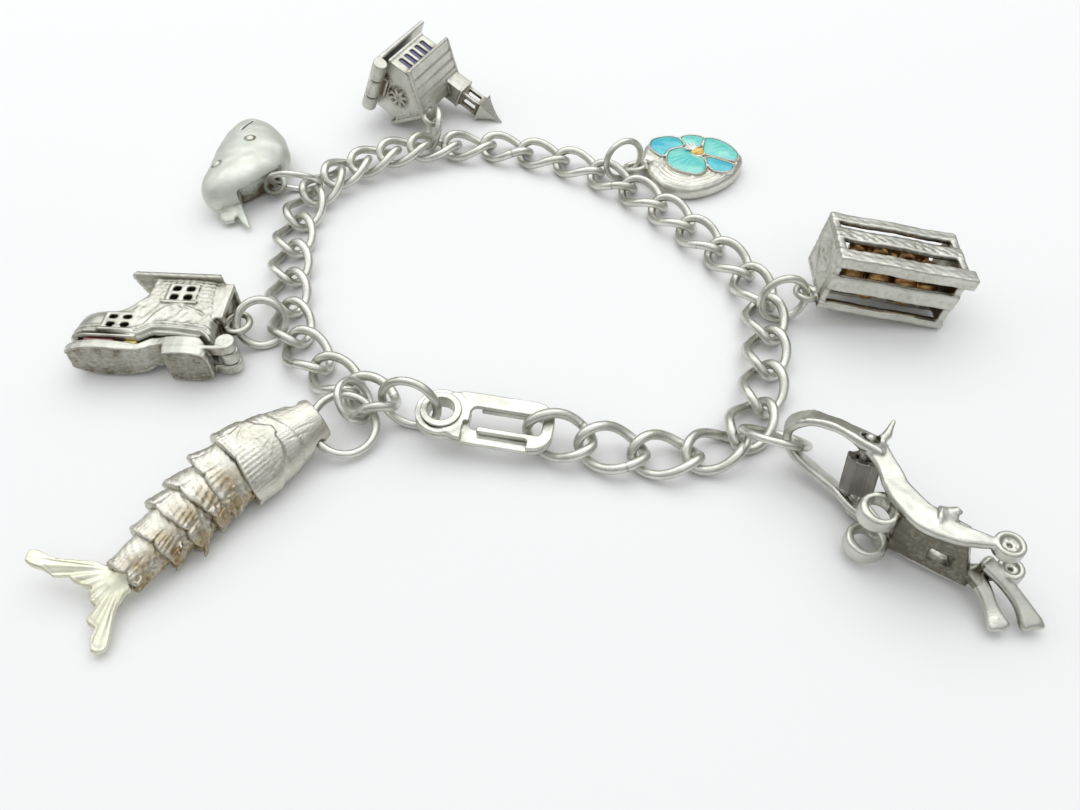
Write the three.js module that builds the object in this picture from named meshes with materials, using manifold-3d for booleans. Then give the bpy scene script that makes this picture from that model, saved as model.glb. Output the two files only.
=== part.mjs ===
// A silver charm bracelet lying in a loop: an open curb chain, a sister hook clasp
// and seven charms on jump rings. Millimetres, +Z up, the table at Z = 0.
import * as THREE from 'three';
import { mergeVertices } from 'three/addons/utils/BufferGeometryUtils.js';
import Module from 'manifold-3d';

const wasm = await Module();
wasm.setup();

// Driving dimensions of the chain, all in millimetres
const WIRE = 1.0;
const WIRE_SIDES = 5;
const WIRE_STEPS = 14;
const LINK_LENGTH = 7.8;
const LINK_WIDTH = 5.4;
const LINK_TWIST = 45;
const LINK_COUNT = 31;
const LINK_PITCH = 5.33;
const HEAPED_PITCH = 4.2;
const HEAPED_FROM = 19;
const HEAPED_TO = 23;
const SMALL_WIRE = 0.75;
const CLEARANCE = 0.2;
const DEGREE = Math.PI / 180;

// The way the chain lies, from the clasp's hook round to its eyelet, seen from above.
// The third number is the height of the wire's middle where the chain is heaped up.
const ROUTE = [
  [-0.6, -5.4, 2.6], [4.7, -6.9, 2.2], [10.0, -7.8, 1.6], [15.6, -7.8],
  [20.4, -5.6], [22.8, -1.4], [24.2, 4.0], [25.5, 12.0],
  [25.1, 17.6], [20.0, 25.9], [13.4, 34.7], [5.6, 41.3], [-4.4, 45.4], [-9.2, 46.4],
  [-13.6, 45.3, 1.8], [-18.2, 43.6, 2.6], [-22.4, 42.0, 2.0], [-26.2, 39.0, 2.2],
  [-29.0, 35.0, 1.8], [-30.4, 30.0],
  [-30.0, 21.8], [-29.2, 16.2], [-28.2, 10.6], [-25.0, 5.6], [-20.6, 1.6], [-15.6, -2.4, 2.9], [-11, -5.6, 4],
];
const REST_HEIGHT = 1.43;

// Shared metals and enamels
const silver = new THREE.MeshStandardMaterial({ color: 0xc9c8c2, metalness: 1, roughness: 0.34 });
const darkSilver = new THREE.MeshStandardMaterial({ color: 0x9a978e, metalness: 1, roughness: 0.45 });
const paleSilver = new THREE.MeshStandardMaterial({ color: 0xe2dfc9, metalness: 0.8, roughness: 0.4 });
const turquoise = new THREE.MeshStandardMaterial({ color: 0x7fc9c9, metalness: 0.2, roughness: 0.3 });
const copper = new THREE.MeshStandardMaterial({ color: 0x9a6a2c, metalness: 1, roughness: 0.4 });

const bracelet = new THREE.Group();

function vector([x, y, z = 0]) {
  return new THREE.Vector3(x, y, z);
}

function add(name, geometry, material, parent = bracelet) {
  const mesh = new THREE.Mesh(geometry, material);
  mesh.name = name;
  parent.add(mesh);
  return mesh;
}

// A closed mesh as a solid, and a solid as a mesh
function solidOf(geometry) {
  const bare = geometry.clone();
  bare.deleteAttribute('normal');
  bare.deleteAttribute('uv');
  const merged = mergeVertices(bare, 1e-4);
  const mesh = new wasm.Mesh({
    numProp: 3,
    vertProperties: new Float32Array(merged.attributes.position.array),
    triVerts: new Uint32Array(merged.index.array),
  });
  return new wasm.Manifold(mesh);
}

function geometryOf(solid) {
  const mesh = solid.getMesh();
  const geometry = new THREE.BufferGeometry();
  geometry.setAttribute('position', new THREE.Float32BufferAttribute(mesh.vertProperties, mesh.numProp));
  geometry.setIndex(new THREE.Uint32BufferAttribute(mesh.triVerts, 1));
  geometry.computeVertexNormals();
  return geometry;
}

function fuse(...geometries) {
  return geometryOf(geometries.map(solidOf).reduce((whole, next) => whole.add(next)));
}

function cut(base, ...tools) {
  return geometryOf(tools.map(solidOf).reduce((rest, tool) => rest.subtract(tool), solidOf(base)));
}

// A copy of a geometry, turned about X, then Y, then Z in degrees, and then moved
function placed(geometry, [x, y, z] = [0, 0, 0], [rx, ry, rz] = [0, 0, 0]) {
  const turn = new THREE.Euler(rx * DEGREE, ry * DEGREE, rz * DEGREE, 'ZYX');
  const matrix = new THREE.Matrix4().makeRotationFromEuler(turn).setPosition(x, y, z);
  return geometry.clone().applyMatrix4(matrix);
}

function box([x0, y0, z0], [x1, y1, z1]) {
  const geometry = new THREE.BoxGeometry(x1 - x0, y1 - y0, z1 - z0);
  return geometry.translate((x0 + x1) / 2, (y0 + y1) / 2, (z0 + z1) / 2);
}

// A rod with its axis from one point to another
function rod(from, to, radius, sides = 8, endRadius = radius) {
  const axis = to.clone().sub(from);
  const geometry = new THREE.CylinderGeometry(endRadius, radius, axis.length(), sides);
  const turn = new THREE.Quaternion().setFromUnitVectors(new THREE.Vector3(0, 1, 0), axis.clone().normalize());
  geometry.applyQuaternion(turn);
  return geometry.translate(...from.clone().add(to).multiplyScalar(0.5).toArray());
}

// An outline in the XY plane given a thickness upwards
function plate(outline, thickness, bottom = 0) {
  const shape = new THREE.Shape(outline.map(([x, y]) => new THREE.Vector2(x, y)));
  const geometry = new THREE.ExtrudeGeometry(shape, { depth: thickness, bevelEnabled: false });
  return geometry.translate(0, 0, bottom);
}

// A wire bent into a closed loop: a torus whose vertices are moved onto the centreline
function wireLoop(centreline, wire) {
  const steps = WIRE_STEPS;
  const sides = WIRE_SIDES;
  const geometry = new THREE.TorusGeometry(1, 0.1, sides, steps);
  const position = geometry.attributes.position;
  const small = 1e-3;
  for (let side = 0; side <= sides; side += 1) {
    for (let step = 0; step <= steps; step += 1) {
      const angle = (step % steps) / steps * 2 * Math.PI;
      const round = (side % sides) / sides * 2 * Math.PI;
      const point = centreline(angle);
      const along = centreline(angle + small).sub(centreline(angle - small)).normalize();
      const outward = point.clone().addScaledVector(along, -along.dot(point)).normalize();
      const across = outward.clone().cross(along);
      point.addScaledVector(outward, Math.cos(round) * wire / 2);
      point.addScaledVector(across, Math.sin(round) * wire / 2);
      position.setXYZ(side * (steps + 1) + step, point.x, point.y, point.z);
    }
  }
  return geometry;
}

// One curb link: an oval of wire twisted about its long axis
function linkGeometry() {
  const halfLength = (LINK_LENGTH - WIRE) / 2;
  const halfWidth = (LINK_WIDTH - WIRE) / 2;
  return wireLoop((angle) => {
    const x = halfLength * Math.cos(angle);
    const y = halfWidth * Math.sin(angle);
    const twist = -LINK_TWIST * DEGREE * x / halfLength;
    return new THREE.Vector3(x, y * Math.cos(twist), y * Math.sin(twist));
  }, WIRE);
}

function ringGeometry(outerDiameter, wire) {
  const radius = (outerDiameter - wire) / 2;
  return wireLoop((angle) => new THREE.Vector3(radius * Math.cos(angle), radius * Math.sin(angle), 0), wire);
}

// Some links are rolled about their length where they hook on or bunch up
const LINK_ROLLS = { 1: 33, 2: 21, 3: 8, 4: -2, 5: 4, 6: 4, 31: 8 };

const route = new THREE.CatmullRomCurve3(
  ROUTE.map(([x, y, z = REST_HEIGHT]) => new THREE.Vector3(x, y, z)), false, 'centripetal');
route.arcLengthDivisions = 2000;
const routeLength = route.getLength();

function pointAlong(distance) {
  return route.getPointAt(THREE.MathUtils.clamp(distance / routeLength, 0, 1));
}

// The next place on the route that lies one link further on in a straight line
function nextJoint(joint, distance, pitch) {
  let near = distance;
  let far = distance + 1.5 * pitch;
  for (let halving = 0; halving < 40; halving += 1) {
    const middle = (near + far) / 2;
    if (pointAlong(middle).distanceTo(joint) < pitch) near = middle;
    else far = middle;
  }
  return near;
}

const link = linkGeometry();
let travelled = 0;
let joint = pointAlong(0);
for (let index = 1; index <= LINK_COUNT; index += 1) {
  const heaped = index >= HEAPED_FROM && index <= HEAPED_TO;
  travelled = nextJoint(joint, travelled, heaped ? HEAPED_PITCH : LINK_PITCH);
  const next = pointAlong(travelled);
  const along = next.clone().sub(joint);
  const heading = Math.atan2(along.y, along.x);
  const pitch = -Math.asin(along.z / along.length());
  const mesh = add(`link_${String(index).padStart(2, '0')}`, link, silver);
  mesh.position.copy(joint).add(next).multiplyScalar(0.5);
  mesh.rotation.set((LINK_ROLLS[index] ?? 0) * DEGREE, pitch, heading, 'ZYX');
  joint = next;
}

// Closed loft through rings of equally many points, flat at both ends
function loft(rings) {
  const count = rings[0].length;
  const points = rings.flat();
  const indices = [];
  for (let row = 0; row < rings.length - 1; row += 1) {
    for (let step = 0; step < count; step += 1) {
      const a = row * count + step;
      const b = row * count + (step + 1) % count;
      indices.push(a, b, b + count, a, b + count, a + count);
    }
  }
  const last = (rings.length - 1) * count;
  for (let step = 1; step < count - 1; step += 1) {
    indices.push(0, step + 1, step);
    indices.push(last, last + step, last + step + 1);
  }
  const geometry = new THREE.BufferGeometry();
  geometry.setAttribute('position', new THREE.Float32BufferAttribute(points.flatMap((p) => p.toArray()), 3));
  geometry.setIndex(indices);
  geometry.computeVertexNormals();
  return solidOf(geometry).volume() > 0 ? geometry : flipped(geometry);
}

function flipped(geometry) {
  const index = geometry.index.array;
  for (let corner = 0; corner < index.length; corner += 3) {
    [index[corner], index[corner + 1]] = [index[corner + 1], index[corner]];
  }
  geometry.computeVertexNormals();
  return geometry;
}

// A ring of points round the X axis: half width across Y, half height along Z
function oval(x, y, z, halfWidth, halfHeight, count = 12, squareness = 1) {
  return Array.from({ length: count }, (_, step) => {
    const angle = (step + 0.5) / count * 2 * Math.PI;
    const c = Math.cos(angle);
    const s = Math.sin(angle);
    return new THREE.Vector3(
      x,
      y + halfWidth * Math.sign(c) * Math.abs(c) ** squareness,
      z + halfHeight * Math.sign(s) * Math.abs(s) ** squareness);
  });
}

// A flat strip of metal along a path; the rows give the place, the width and the thickness
function strip(rows, across) {
  const centres = rows.map(([x, y, z]) => new THREE.Vector3(x, y, z));
  return loft(rows.map(([, , , width, thickness], row) => {
    const before = centres[Math.max(row - 1, 0)];
    const after = centres[Math.min(row + 1, rows.length - 1)];
    const along = after.clone().sub(before).normalize();
    const side = across.clone().addScaledVector(along, -along.dot(across)).normalize();
    const up = along.clone().cross(side);
    return [[1, 1], [-1, 1], [-1, -1], [1, -1]].map(([s, u]) => centres[row].clone()
      .addScaledVector(side, s * width / 2).addScaledVector(up, u * thickness / 2));
  }));
}

// A group lying at a place, turned about X, then Y, then Z
function lying([x, y, z], [rx, ry, rz]) {
  const group = new THREE.Group();
  group.position.set(x, y, z);
  group.rotation.set(rx * DEGREE, ry * DEGREE, rz * DEGREE, 'ZYX');
  bracelet.add(group);
  return group;
}

// A group turned in the same way, but with a point of its own, its eye, at a place in the layout
function hung(eye, place, turn) {
  const group = lying([0, 0, 0], turn);
  group.position.copy(vector(place)).sub(vector(eye).applyEuler(group.rotation));
  return group;
}

// The clasp: two flat sister hooks on one hollow rivet
const HOOK_THICKNESS = 0.55;
const HOOK_HALF_WIDTH = 2.85;
const HOOK_REACH = 11.4;
const HOOK_ARM = 1.7;
const HOOK_END = 1.15;
const EYE_RADIUS = 2.65;
const RIVET_BORE = 1.35;
const RIVET_OUTER = 1.7;
const RIVET_FLANGE = 2.1;
const RIVET_LIP = 0.2;
const HOOK_GAP = 0.15;
const HOOK_MOUTH = 3.9;
const HOOK_LAP = 0.6;

// The closed outline of one hook: eye, two arms and a round end, with the window cut out
function hookPlate(bore) {
  const corner = 2.1;
  const steps = 6;
  const outline = [];
  const arc = (cx, cy, radius, from, to, count) => {
    for (let step = 0; step <= count; step += 1) {
      const angle = (from + (to - from) * step / count) * DEGREE;
      outline.push(new THREE.Vector2(cx + radius * Math.cos(angle), cy + radius * Math.sin(angle)));
    }
  };
  arc(0, 0, EYE_RADIUS, 80, 280, 14);
  arc(HOOK_REACH - corner, -HOOK_HALF_WIDTH + corner, corner, -90, 0, steps);
  arc(HOOK_REACH - corner, HOOK_HALF_WIDTH - corner, corner, 0, 90, steps);
  const shape = new THREE.Shape(outline);
  const hole = new THREE.Path();
  hole.absarc(0, 0, bore, 0, 2 * Math.PI, true);
  shape.holes.push(hole);
  const inner = HOOK_HALF_WIDTH - HOOK_ARM;
  const left = EYE_RADIUS + 0.35;
  const right = HOOK_REACH - HOOK_END;
  const window = new THREE.Path([
    [left, -inner + 0.4], [left, inner - 0.4], [left + 0.4, inner], [right - 0.6, inner], [right, inner - 0.6],
    [right, -inner + 0.6], [right - 0.6, -inner], [left + 0.4, -inner],
  ].map(([x, y]) => new THREE.Vector2(x, y)));
  shape.holes.push(window);
  return new THREE.ExtrudeGeometry(shape, { depth: HOOK_THICKNESS, bevelEnabled: false, curveSegments: 8 });
}

// One arm is opened: only a narrow tongue of it stays, which laps the other hook
function openedArm(plateGeometry, side) {
  const outer = HOOK_HALF_WIDTH + 1;
  const lapEdge = HOOK_HALF_WIDTH - HOOK_ARM + HOOK_LAP;
  const low = -0.1;
  const high = HOOK_THICKNESS + 0.1;
  const y = (a, b) => [Math.min(side * a, side * b), Math.max(side * a, side * b)];
  const [mouthLow, mouthHigh] = y(0.7, outer);
  const [sideLow, sideHigh] = y(lapEdge, outer);
  return cut(
    plateGeometry,
    box([EYE_RADIUS * 0.93, mouthLow, low], [HOOK_MOUTH, mouthHigh, high]),
    box([HOOK_MOUTH - 0.1, sideLow, low], [HOOK_REACH - 2.4, sideHigh, high]));
}

function rivet() {
  const bottom = -RIVET_LIP;
  const top = 2 * HOOK_THICKNESS + 2 * HOOK_GAP;
  const profile = [
    [RIVET_BORE, bottom], [RIVET_FLANGE, bottom], [RIVET_FLANGE, 0.05], [RIVET_OUTER, 0.05], [RIVET_OUTER, top],
    [RIVET_FLANGE - 0.1, top], [RIVET_FLANGE, top + RIVET_LIP * 0.5], [RIVET_FLANGE - 0.25, top + RIVET_LIP],
    [RIVET_BORE + 0.25, top + RIVET_LIP], [RIVET_BORE, top + RIVET_LIP * 0.5], [RIVET_BORE, bottom],
  ];
  return new THREE.LatheGeometry(profile.map(([r, y]) => new THREE.Vector2(r, y)), 14).rotateX(Math.PI / 2);
}

const clasp = lying([-9.9, -3.72, 2.4], [5.9, 2.6, -9.5]);
add('clasp_hook_lower', fuse(openedArm(hookPlate(RIVET_OUTER - 0.05), 1), rivet()), silver, clasp);
const upperHook = openedArm(hookPlate(RIVET_OUTER + CLEARANCE), -1);
add('clasp_hook_upper', upperHook.translate(0, 0, HOOK_THICKNESS + HOOK_GAP), silver, clasp);

// The church: a gabled house with plank roof, slot windows, a tower with open belfry and a spire
const CHURCH_LENGTH = 8.15;
const CHURCH_WIDTH = 8.3;
const EAVES_HEIGHT = 3.9;
const RIDGE_HEIGHT = 7.3;
const CHURCH_WALL = 0.6;
const ROOF_OVERHANG = 1.1;
const ROOF_THICKNESS = 0.5;
const PLANKS = 5;
const PLANK_STEP = 0.16;
const TOWER_SIDE = 2.9;
const TOWER_TOP = 9.2;
const SPIRE_BASE = 12.4;
const SPIRE_TIP = 16.0;
const BARREL_RADIUS = 1.0;
const BARREL_BORE = 0.5;
const BARREL_X = -1.15;
const BARREL_Z = -0.35;
const BASE_THICKNESS = 0.7;
const BASE_LENGTH = 11.6;
const CHURCH_EYE = [0.3, 0, RIDGE_HEIGHT + 1.2];
const CHURCH_EYE_PLACE = [-15.099, 50.542, 2.965];

function gable(width, eaves, ridge, from, to) {
  const outline = [[-width / 2, 0], [width / 2, 0], [width / 2, eaves], [0, ridge], [-width / 2, eaves]];
  const geometry = plate(outline, to - from);
  return geometry.applyMatrix4(new THREE.Matrix4().set(0, 0, 1, from, 1, 0, 0, 0, 0, 1, 0, 0, 0, 0, 0, 1));
}

// The roof's section: stepped planks on each slope, thin below
function roof() {
  const reach = CHURCH_WIDTH / 2 + 0.75;
  const slope = (RIDGE_HEIGHT - EAVES_HEIGHT) / (CHURCH_WIDTH / 2);
  const top = [];
  for (let plank = 0; plank < PLANKS; plank += 1) {
    const outer = reach * (1 - plank / PLANKS);
    const inner = reach * (1 - (plank + 1) / PLANKS);
    top.push([outer, RIDGE_HEIGHT + ROOF_THICKNESS - outer * slope]);
    top.push([inner, RIDGE_HEIGHT + ROOF_THICKNESS - PLANK_STEP - inner * slope]);
  }
  const eaves = [reach, RIDGE_HEIGHT - reach * slope - 0.05];
  const right = [eaves, ...top.slice(0, -1), [0, RIDGE_HEIGHT + ROOF_THICKNESS]];
  const left = right.slice(0, -1).reverse().map(([y, z]) => [-y, z]);
  const outline = [...right, ...left, [0, RIDGE_HEIGHT - 0.05]];
  const geometry = plate(outline, CHURCH_LENGTH + ROOF_OVERHANG + 0.35);
  return geometry.applyMatrix4(new THREE.Matrix4().set(0, 0, 1, -0.35, 1, 0, 0, 0, 0, 1, 0, 0, 0, 0, 0, 1));
}

function rosette() {
  const radius = 1.25;
  const petals = 8;
  const pieces = [new THREE.TorusGeometry(radius, 0.13, 4, 16)];
  for (let petal = 0; petal < petals; petal += 1) {
    const angle = petal / petals * 360;
    pieces.push(placed(box([0.15, -0.16, -0.2], [radius, 0.16, 0.16]), [0, 0, 0], [0, 0, angle]));
  }
  pieces.push(new THREE.CylinderGeometry(0.3, 0.3, 0.5, 8).rotateX(Math.PI / 2));
  return placed(fuse(...pieces).rotateY(-Math.PI / 2), [-0.02, -0.3, 3.1]);
}

function churchBody() {
  const length = CHURCH_LENGTH;
  const wall = CHURCH_WALL;
  const towerX = length + ROOF_OVERHANG - 0.05 - TOWER_SIDE / 2;
  const half = TOWER_SIDE / 2;
  const room = gable(CHURCH_WIDTH - 2 * wall, EAVES_HEIGHT - 0.3, RIDGE_HEIGHT - 1.1, wall, length - wall);
  const shell = cut(
    gable(CHURCH_WIDTH, EAVES_HEIGHT, RIDGE_HEIGHT, 0, length),
    placed(room, [0, 0, -0.01]));
  const slots = [0, 1, 2, 3, 4].map((slot) => {
    const x = 1.35 + slot * 1.28;
    return box([x, -CHURCH_WIDTH, 1.1], [x + 0.5, CHURCH_WIDTH, 3.1]);
  });
  const belfryWidth = TOWER_SIDE * 0.74;
  const open = belfryWidth * 0.26;
  const side = belfryWidth / 2;
  const belfry = cut(
    box([-side, -side, TOWER_TOP - 0.2], [side, side, SPIRE_BASE + 0.1]),
    box([-open, -2, TOWER_TOP + 0.5], [open, 2, SPIRE_BASE - 0.5]),
    box([-2, -open, TOWER_TOP + 0.5], [2, open, SPIRE_BASE - 0.5]));
  const spire = new THREE.CylinderGeometry(0.12, 2.05, SPIRE_TIP - SPIRE_BASE, 4);
  spire.rotateX(Math.PI / 2).rotateZ(Math.PI / 4);
  const tower = [
    box([-half, -half, RIDGE_HEIGHT - 3.0], [half, half, TOWER_TOP]),
    belfry,
    spire.translate(0, 0, (SPIRE_TIP + SPIRE_BASE) / 2),
  ].map((piece) => placed(piece, [towerX, 0, 0]));
  const barrel = (from, to, radius) => rod(
    new THREE.Vector3(BARREL_X, from, BARREL_Z), new THREE.Vector3(BARREL_X, to, BARREL_Z), radius, 12);
  const knuckle = barrel(-1.7, 1.2, BARREL_RADIUS);
  const leaf = box([BARREL_X + 0.75, -1.7, 0.1], [0.3, 1.2, 1.2]);
  const eye = placed(ringGeometry(3.0, SMALL_WIRE), CHURCH_EYE, [90, 0, 0]);
  return cut(
    fuse(shell, roof(), rosette(), ...tower, knuckle, leaf, eye), ...slots, barrel(-3, 3, BARREL_BORE));
}

function churchBase() {
  const half = CHURCH_WIDTH / 2;
  const knuckles = [[-4.1, -1.9], [1.4, 4.1]].map(([from, to]) => rod(
    new THREE.Vector3(0, from, 0), new THREE.Vector3(0, to, 0), BARREL_RADIUS, 12));
  const pin = rod(new THREE.Vector3(0, -2, 0), new THREE.Vector3(0, 2, 0), BARREL_BORE - CLEARANCE, 10);
  const bottom = -BARREL_RADIUS;
  const top = bottom + BASE_THICKNESS;
  const arms = [[-4.1, -1.9], [1.4, 4.1]].map(([from, to]) => box([0, from, bottom], [2.2, to, top]));
  const sheet = box([BARREL_RADIUS + 0.2, -half, bottom], [BASE_LENGTH, half, top]);
  return fuse(...knuckles, pin, ...arms, sheet);
}

const church = hung(CHURCH_EYE, CHURCH_EYE_PLACE, [114.9, -2.2, 61.8]);
add('church_body', churchBody(), silver, church);
const base = add('church_base', churchBase(), silver, church);
base.position.set(BARREL_X, 0, BARREL_Z);

// The whale: a puffed body over a flat belly, with two flukes and a ring
// Columns: along the table, middle across, middle height, half width, half height
const WHALE_ROWS = [
  [31.2, -40.9, 2.6, 0.9, 1.1],
  [32.0, -40.5, 2.8, 1.9, 2.0],
  [33.7, -39.7, 2.95, 3.4, 2.75],
  [37.0, -38.3, 3.0, 4.7, 2.95],
  [41.0, -38.0, 3.05, 4.9, 2.95],
  [44.3, -38.4, 3.05, 4.1, 2.75],
  [47.0, -39.0, 3.0, 2.6, 2.1],
  [48.4, -39.4, 3.0, 1.1, 1.0],
];
const EYE_DISC = 0.55;

function whaleBody() {
  const sides = 14;
  const hull = loft(WHALE_ROWS.map(([y, x, z, halfWidth, halfHeight]) => (
    oval(y, -x, z, halfWidth, halfHeight, sides))));
  hull.rotateZ(Math.PI / 2);
  const hollow = placed(box([-5.2, -8, -1], [8, 0, 3.8]), [-35.3, 37.1, 0], [0, 0, 38.3]);
  const eyes = [[-40.2, 45.0, 5.3], [-42.4, 40.6, 4.2]].map(([x, y, z]) => {
    const eye = new THREE.CylinderGeometry(EYE_DISC, EYE_DISC, 0.9, 10).rotateX(Math.PI / 2);
    return placed(eye, [x, y, z], [0, -35, 0]);
  });
  const lobe = strip([
    [-40.2, 34.2, 2.0, 1.6, 1.4], [-40.0, 32.4, 1.5, 2.0, 1.1],
    [-39.6, 30.9, 1.0, 2.1, 0.9], [-39.4, 30.0, 0.8, 1.4, 0.7],
  ], new THREE.Vector3(1, 0, 0));
  const fluke = strip([
    [-39.4, 34.4, 2.0, 1.6, 1.3], [-38.6, 32.2, 1.4, 1.3, 0.8],
    [-37.5, 30.2, 0.9, 1.0, 0.7], [-36.6, 28.9, 0.6, 0.5, 0.5],
  ], new THREE.Vector3(1, 0, 0));
  const eye = placed(ringGeometry(3.2, SMALL_WIRE), [-34.6, 36.5, 1.9], [40, 0, 0]);
  return fuse(cut(hull, hollow), ...eyes, lobe, fluke, eye);
}

add('whale_charm', whaleBody(), silver);

// The boot: a house in a boot, hollow above its hinged sole
const BOOT_HALF_WIDTH = 2.4;
const BOOT_WALL = 0.75;
const BOOT_ROUND = 0.8;
const BOOT_RING = 3.4;
const BOOT_BARREL = { x: 17.6, z: 0.45, radius: 1.05, half: 2.15, bore: 0.55 };
const BOOT_PROFILE = [
  [0.1, 0], [0, 1.6], [0.3, 3.0], [0.9, 4.3], [2.0, 5.0], [3.2, 4.8], [4.6, 4.8], [6.0, 5.3], [7.0, 6.2],
  [7.5, 7.2], [7.4, 9.1], [14.7, 9.1], [15.1, 6.5], [15.8, 3.5], [16.2, 0.1], [14.9, 1.0],
  [9.6, 1.1], [8.4, 0.1],
];

// An outline standing in the XZ plane, as thick as twice the half width
function standing(outline, halfWidth, round = 0) {
  const shape = new THREE.Shape(outline.map(([x, z]) => new THREE.Vector2(x, z)));
  const settings = round
    ? { bevelEnabled: true, bevelThickness: round, bevelSize: round, bevelOffset: -round, bevelSegments: 2 }
    : { bevelEnabled: false };
  settings.depth = 2 * (halfWidth - round);
  return new THREE.ExtrudeGeometry(shape, settings).translate(0, 0, -(halfWidth - round)).rotateX(Math.PI / 2);
}

function windowPanes(x, z, wide, high, bar) {
  const reach = BOOT_HALF_WIDTH + 1;
  return [0, 1].flatMap((column) => [0, 1].map((row) => {
    const left = x + column * (wide + bar);
    const low = z + row * (high + bar);
    return box([left, -reach, low], [left + wide, reach, low + high]);
  }));
}

function bootBarrel(from, to, radius = BOOT_BARREL.radius) {
  const { x, z } = BOOT_BARREL;
  return rod(new THREE.Vector3(x, from, z), new THREE.Vector3(x, to, z), radius, 12);
}

function bootUpper() {
  const skin = standing(BOOT_PROFILE, BOOT_HALF_WIDTH, BOOT_ROUND);
  const inner = BOOT_HALF_WIDTH - BOOT_WALL;
  const foot = standing([
    [1.0, -1], [1.0, 2.6], [2.2, 3.9], [6.6, 4.1], [8.4, 5.2], [14.2, 5.2], [14.9, 2.0], [14.9, -1],
  ], inner);
  const shaft = standing([[8.4, 5.1], [8.4, 8.4], [13.9, 8.4], [14.2, 5.1]], inner);
  const roofPlate = box([5.0, -2.9, 8.9], [15.1, 2.45, 9.65]);
  const porch = cut(
    box([14.4, -1.9, 3.8], [16.4, 1.9, 9.0]),
    box([15.8, -1.2, 4.6], [18, 1.2, 8.4]));
  const lip = [-1, 1].map((side) => box([1.0, side * 2.1 - 0.4, 0.15], [8.2, side * 2.1 + 0.4, 0.6]));
  const barrel = BOOT_BARREL;
  const knuckle = bootBarrel(-0.75, 0.75);
  const leaf = box([15.3, -0.75, 1.1], [barrel.x + 0.3, 0.75, 2.2]);
  const neck = box([barrel.x - 0.5, -0.75, barrel.z], [barrel.x + 0.5, 0.75, 1.8]);
  const eye = placed(ringGeometry(BOOT_RING, SMALL_WIRE), [17.3, 0, 4.8], [90, 0, 0]);
  return cut(
    fuse(cut(fuse(skin, ...lip), foot, shaft), roofPlate, porch, knuckle, leaf, neck, eye),
    bootBarrel(-1, 1, barrel.bore),
    ...windowPanes(10.0, 5.7, 1.15, 0.85, 0.4),
    ...windowPanes(4.4, 1.5, 1.15, 0.7, 0.4));
}

function bootSole() {
  const side = [
    [0.3, -0.2], [8.3, -0.15], [9.5, 0.85], [14.9, 0.75], [16.0, -0.3],
    [16.2, -1.7], [11.4, -1.7], [11.0, -0.2], [9.6, -0.4], [8.6, -1.1], [6.5, -1.4], [0.6, -1.4],
  ];
  const edge = [
    [0.2, -0.8], [1.6, -1.9], [4.0, -2.35], [7.2, -2.1], [9.6, -1.7],
    [11.3, -2.1], [13.5, -2.4], [15.4, -2.1], [16.2, -1.2],
  ];
  const mirrored = edge.map(([x, y]) => [x, -y]).reverse();
  const outline = solidOf(plate([...edge, ...mirrored], 6, -3));
  const tread = geometryOf(solidOf(standing(side, BOOT_HALF_WIDTH + 1)).intersect(outline));
  const contents = [[3.2, 1.2], [5.8, 1.1], [8.2, 1.0], [12.0, 1.2]].map(([x, size], index) => placed(
    new THREE.SphereGeometry(size, 8, 6), [x, 0, index === 3 ? 0.9 : -0.1]));
  const knuckles = [[-BOOT_BARREL.half, -0.95], [0.95, BOOT_BARREL.half]].flatMap(([from, to]) => [
    bootBarrel(from, to),
    box([14.6, from, -0.75], [BOOT_BARREL.x, to, -0.15]),
  ]);
  const pin = bootBarrel(-1.5, 1.5, BOOT_BARREL.bore - CLEARANCE);
  return fuse(tread, ...contents, ...knuckles, pin);
}

const boot = lying([-50.8, 5.6, 2.6], [-86, 0, -3.5]);
add('boot_upper', bootUpper(), silver, boot);
add('boot_sole', bootSole(), silver, boot);

// The fish: a hollow head, five flared rings one behind the other, and a tail
const FISH_ROLL = -31;
const FISH_SLIM = 0.62;
const SCALE_WALL = 0.55;
const CUP_DEPTH = 1.5;
const NECK_SHARE = 0.62;
// Columns: the place of the middle of each rim, from the mouth to the last one, and its half width
const FISH_RIMS = [
  [-22.2, -4.4, 3.1, 2.3], [-28.7, -10.7, 3.15, 4.05], [-30.6, -12.4, 2.9, 3.6], [-31.8, -14.5, 2.8, 3.5],
  [-33.1, -16.6, 2.7, 3.35], [-34.4, -18.7, 2.5, 2.7], [-36.3, -21.5, 2.3, 1.85],
];

function fishRing(x, halfWidth, teeth = 0) {
  const count = 16;
  return oval(x, 0, 0, halfWidth, halfWidth * FISH_SLIM, count).map((point, step) => {
    point.x += step % 2 ? teeth : 0;
    return point.applyAxisAngle(new THREE.Vector3(1, 0, 0), FISH_ROLL * DEGREE);
  });
}

function fishCup(x, halfWidth) {
  const inside = halfWidth - SCALE_WALL;
  return loft([fishRing(x - CUP_DEPTH, inside * 0.8), fishRing(x + 1.5, inside * 1.02)]);
}

// A group at one rim that looks towards the next
function fishPart(row) {
  const from = vector(FISH_RIMS[row]);
  const along = vector(FISH_RIMS[row + 1]).sub(from);
  const level = Math.hypot(along.x, along.y);
  const turn = [0, -Math.atan2(along.z, level) / DEGREE, Math.atan2(along.y, along.x) / DEGREE];
  return [lying(from.toArray(), turn), along.length()];
}

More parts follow.
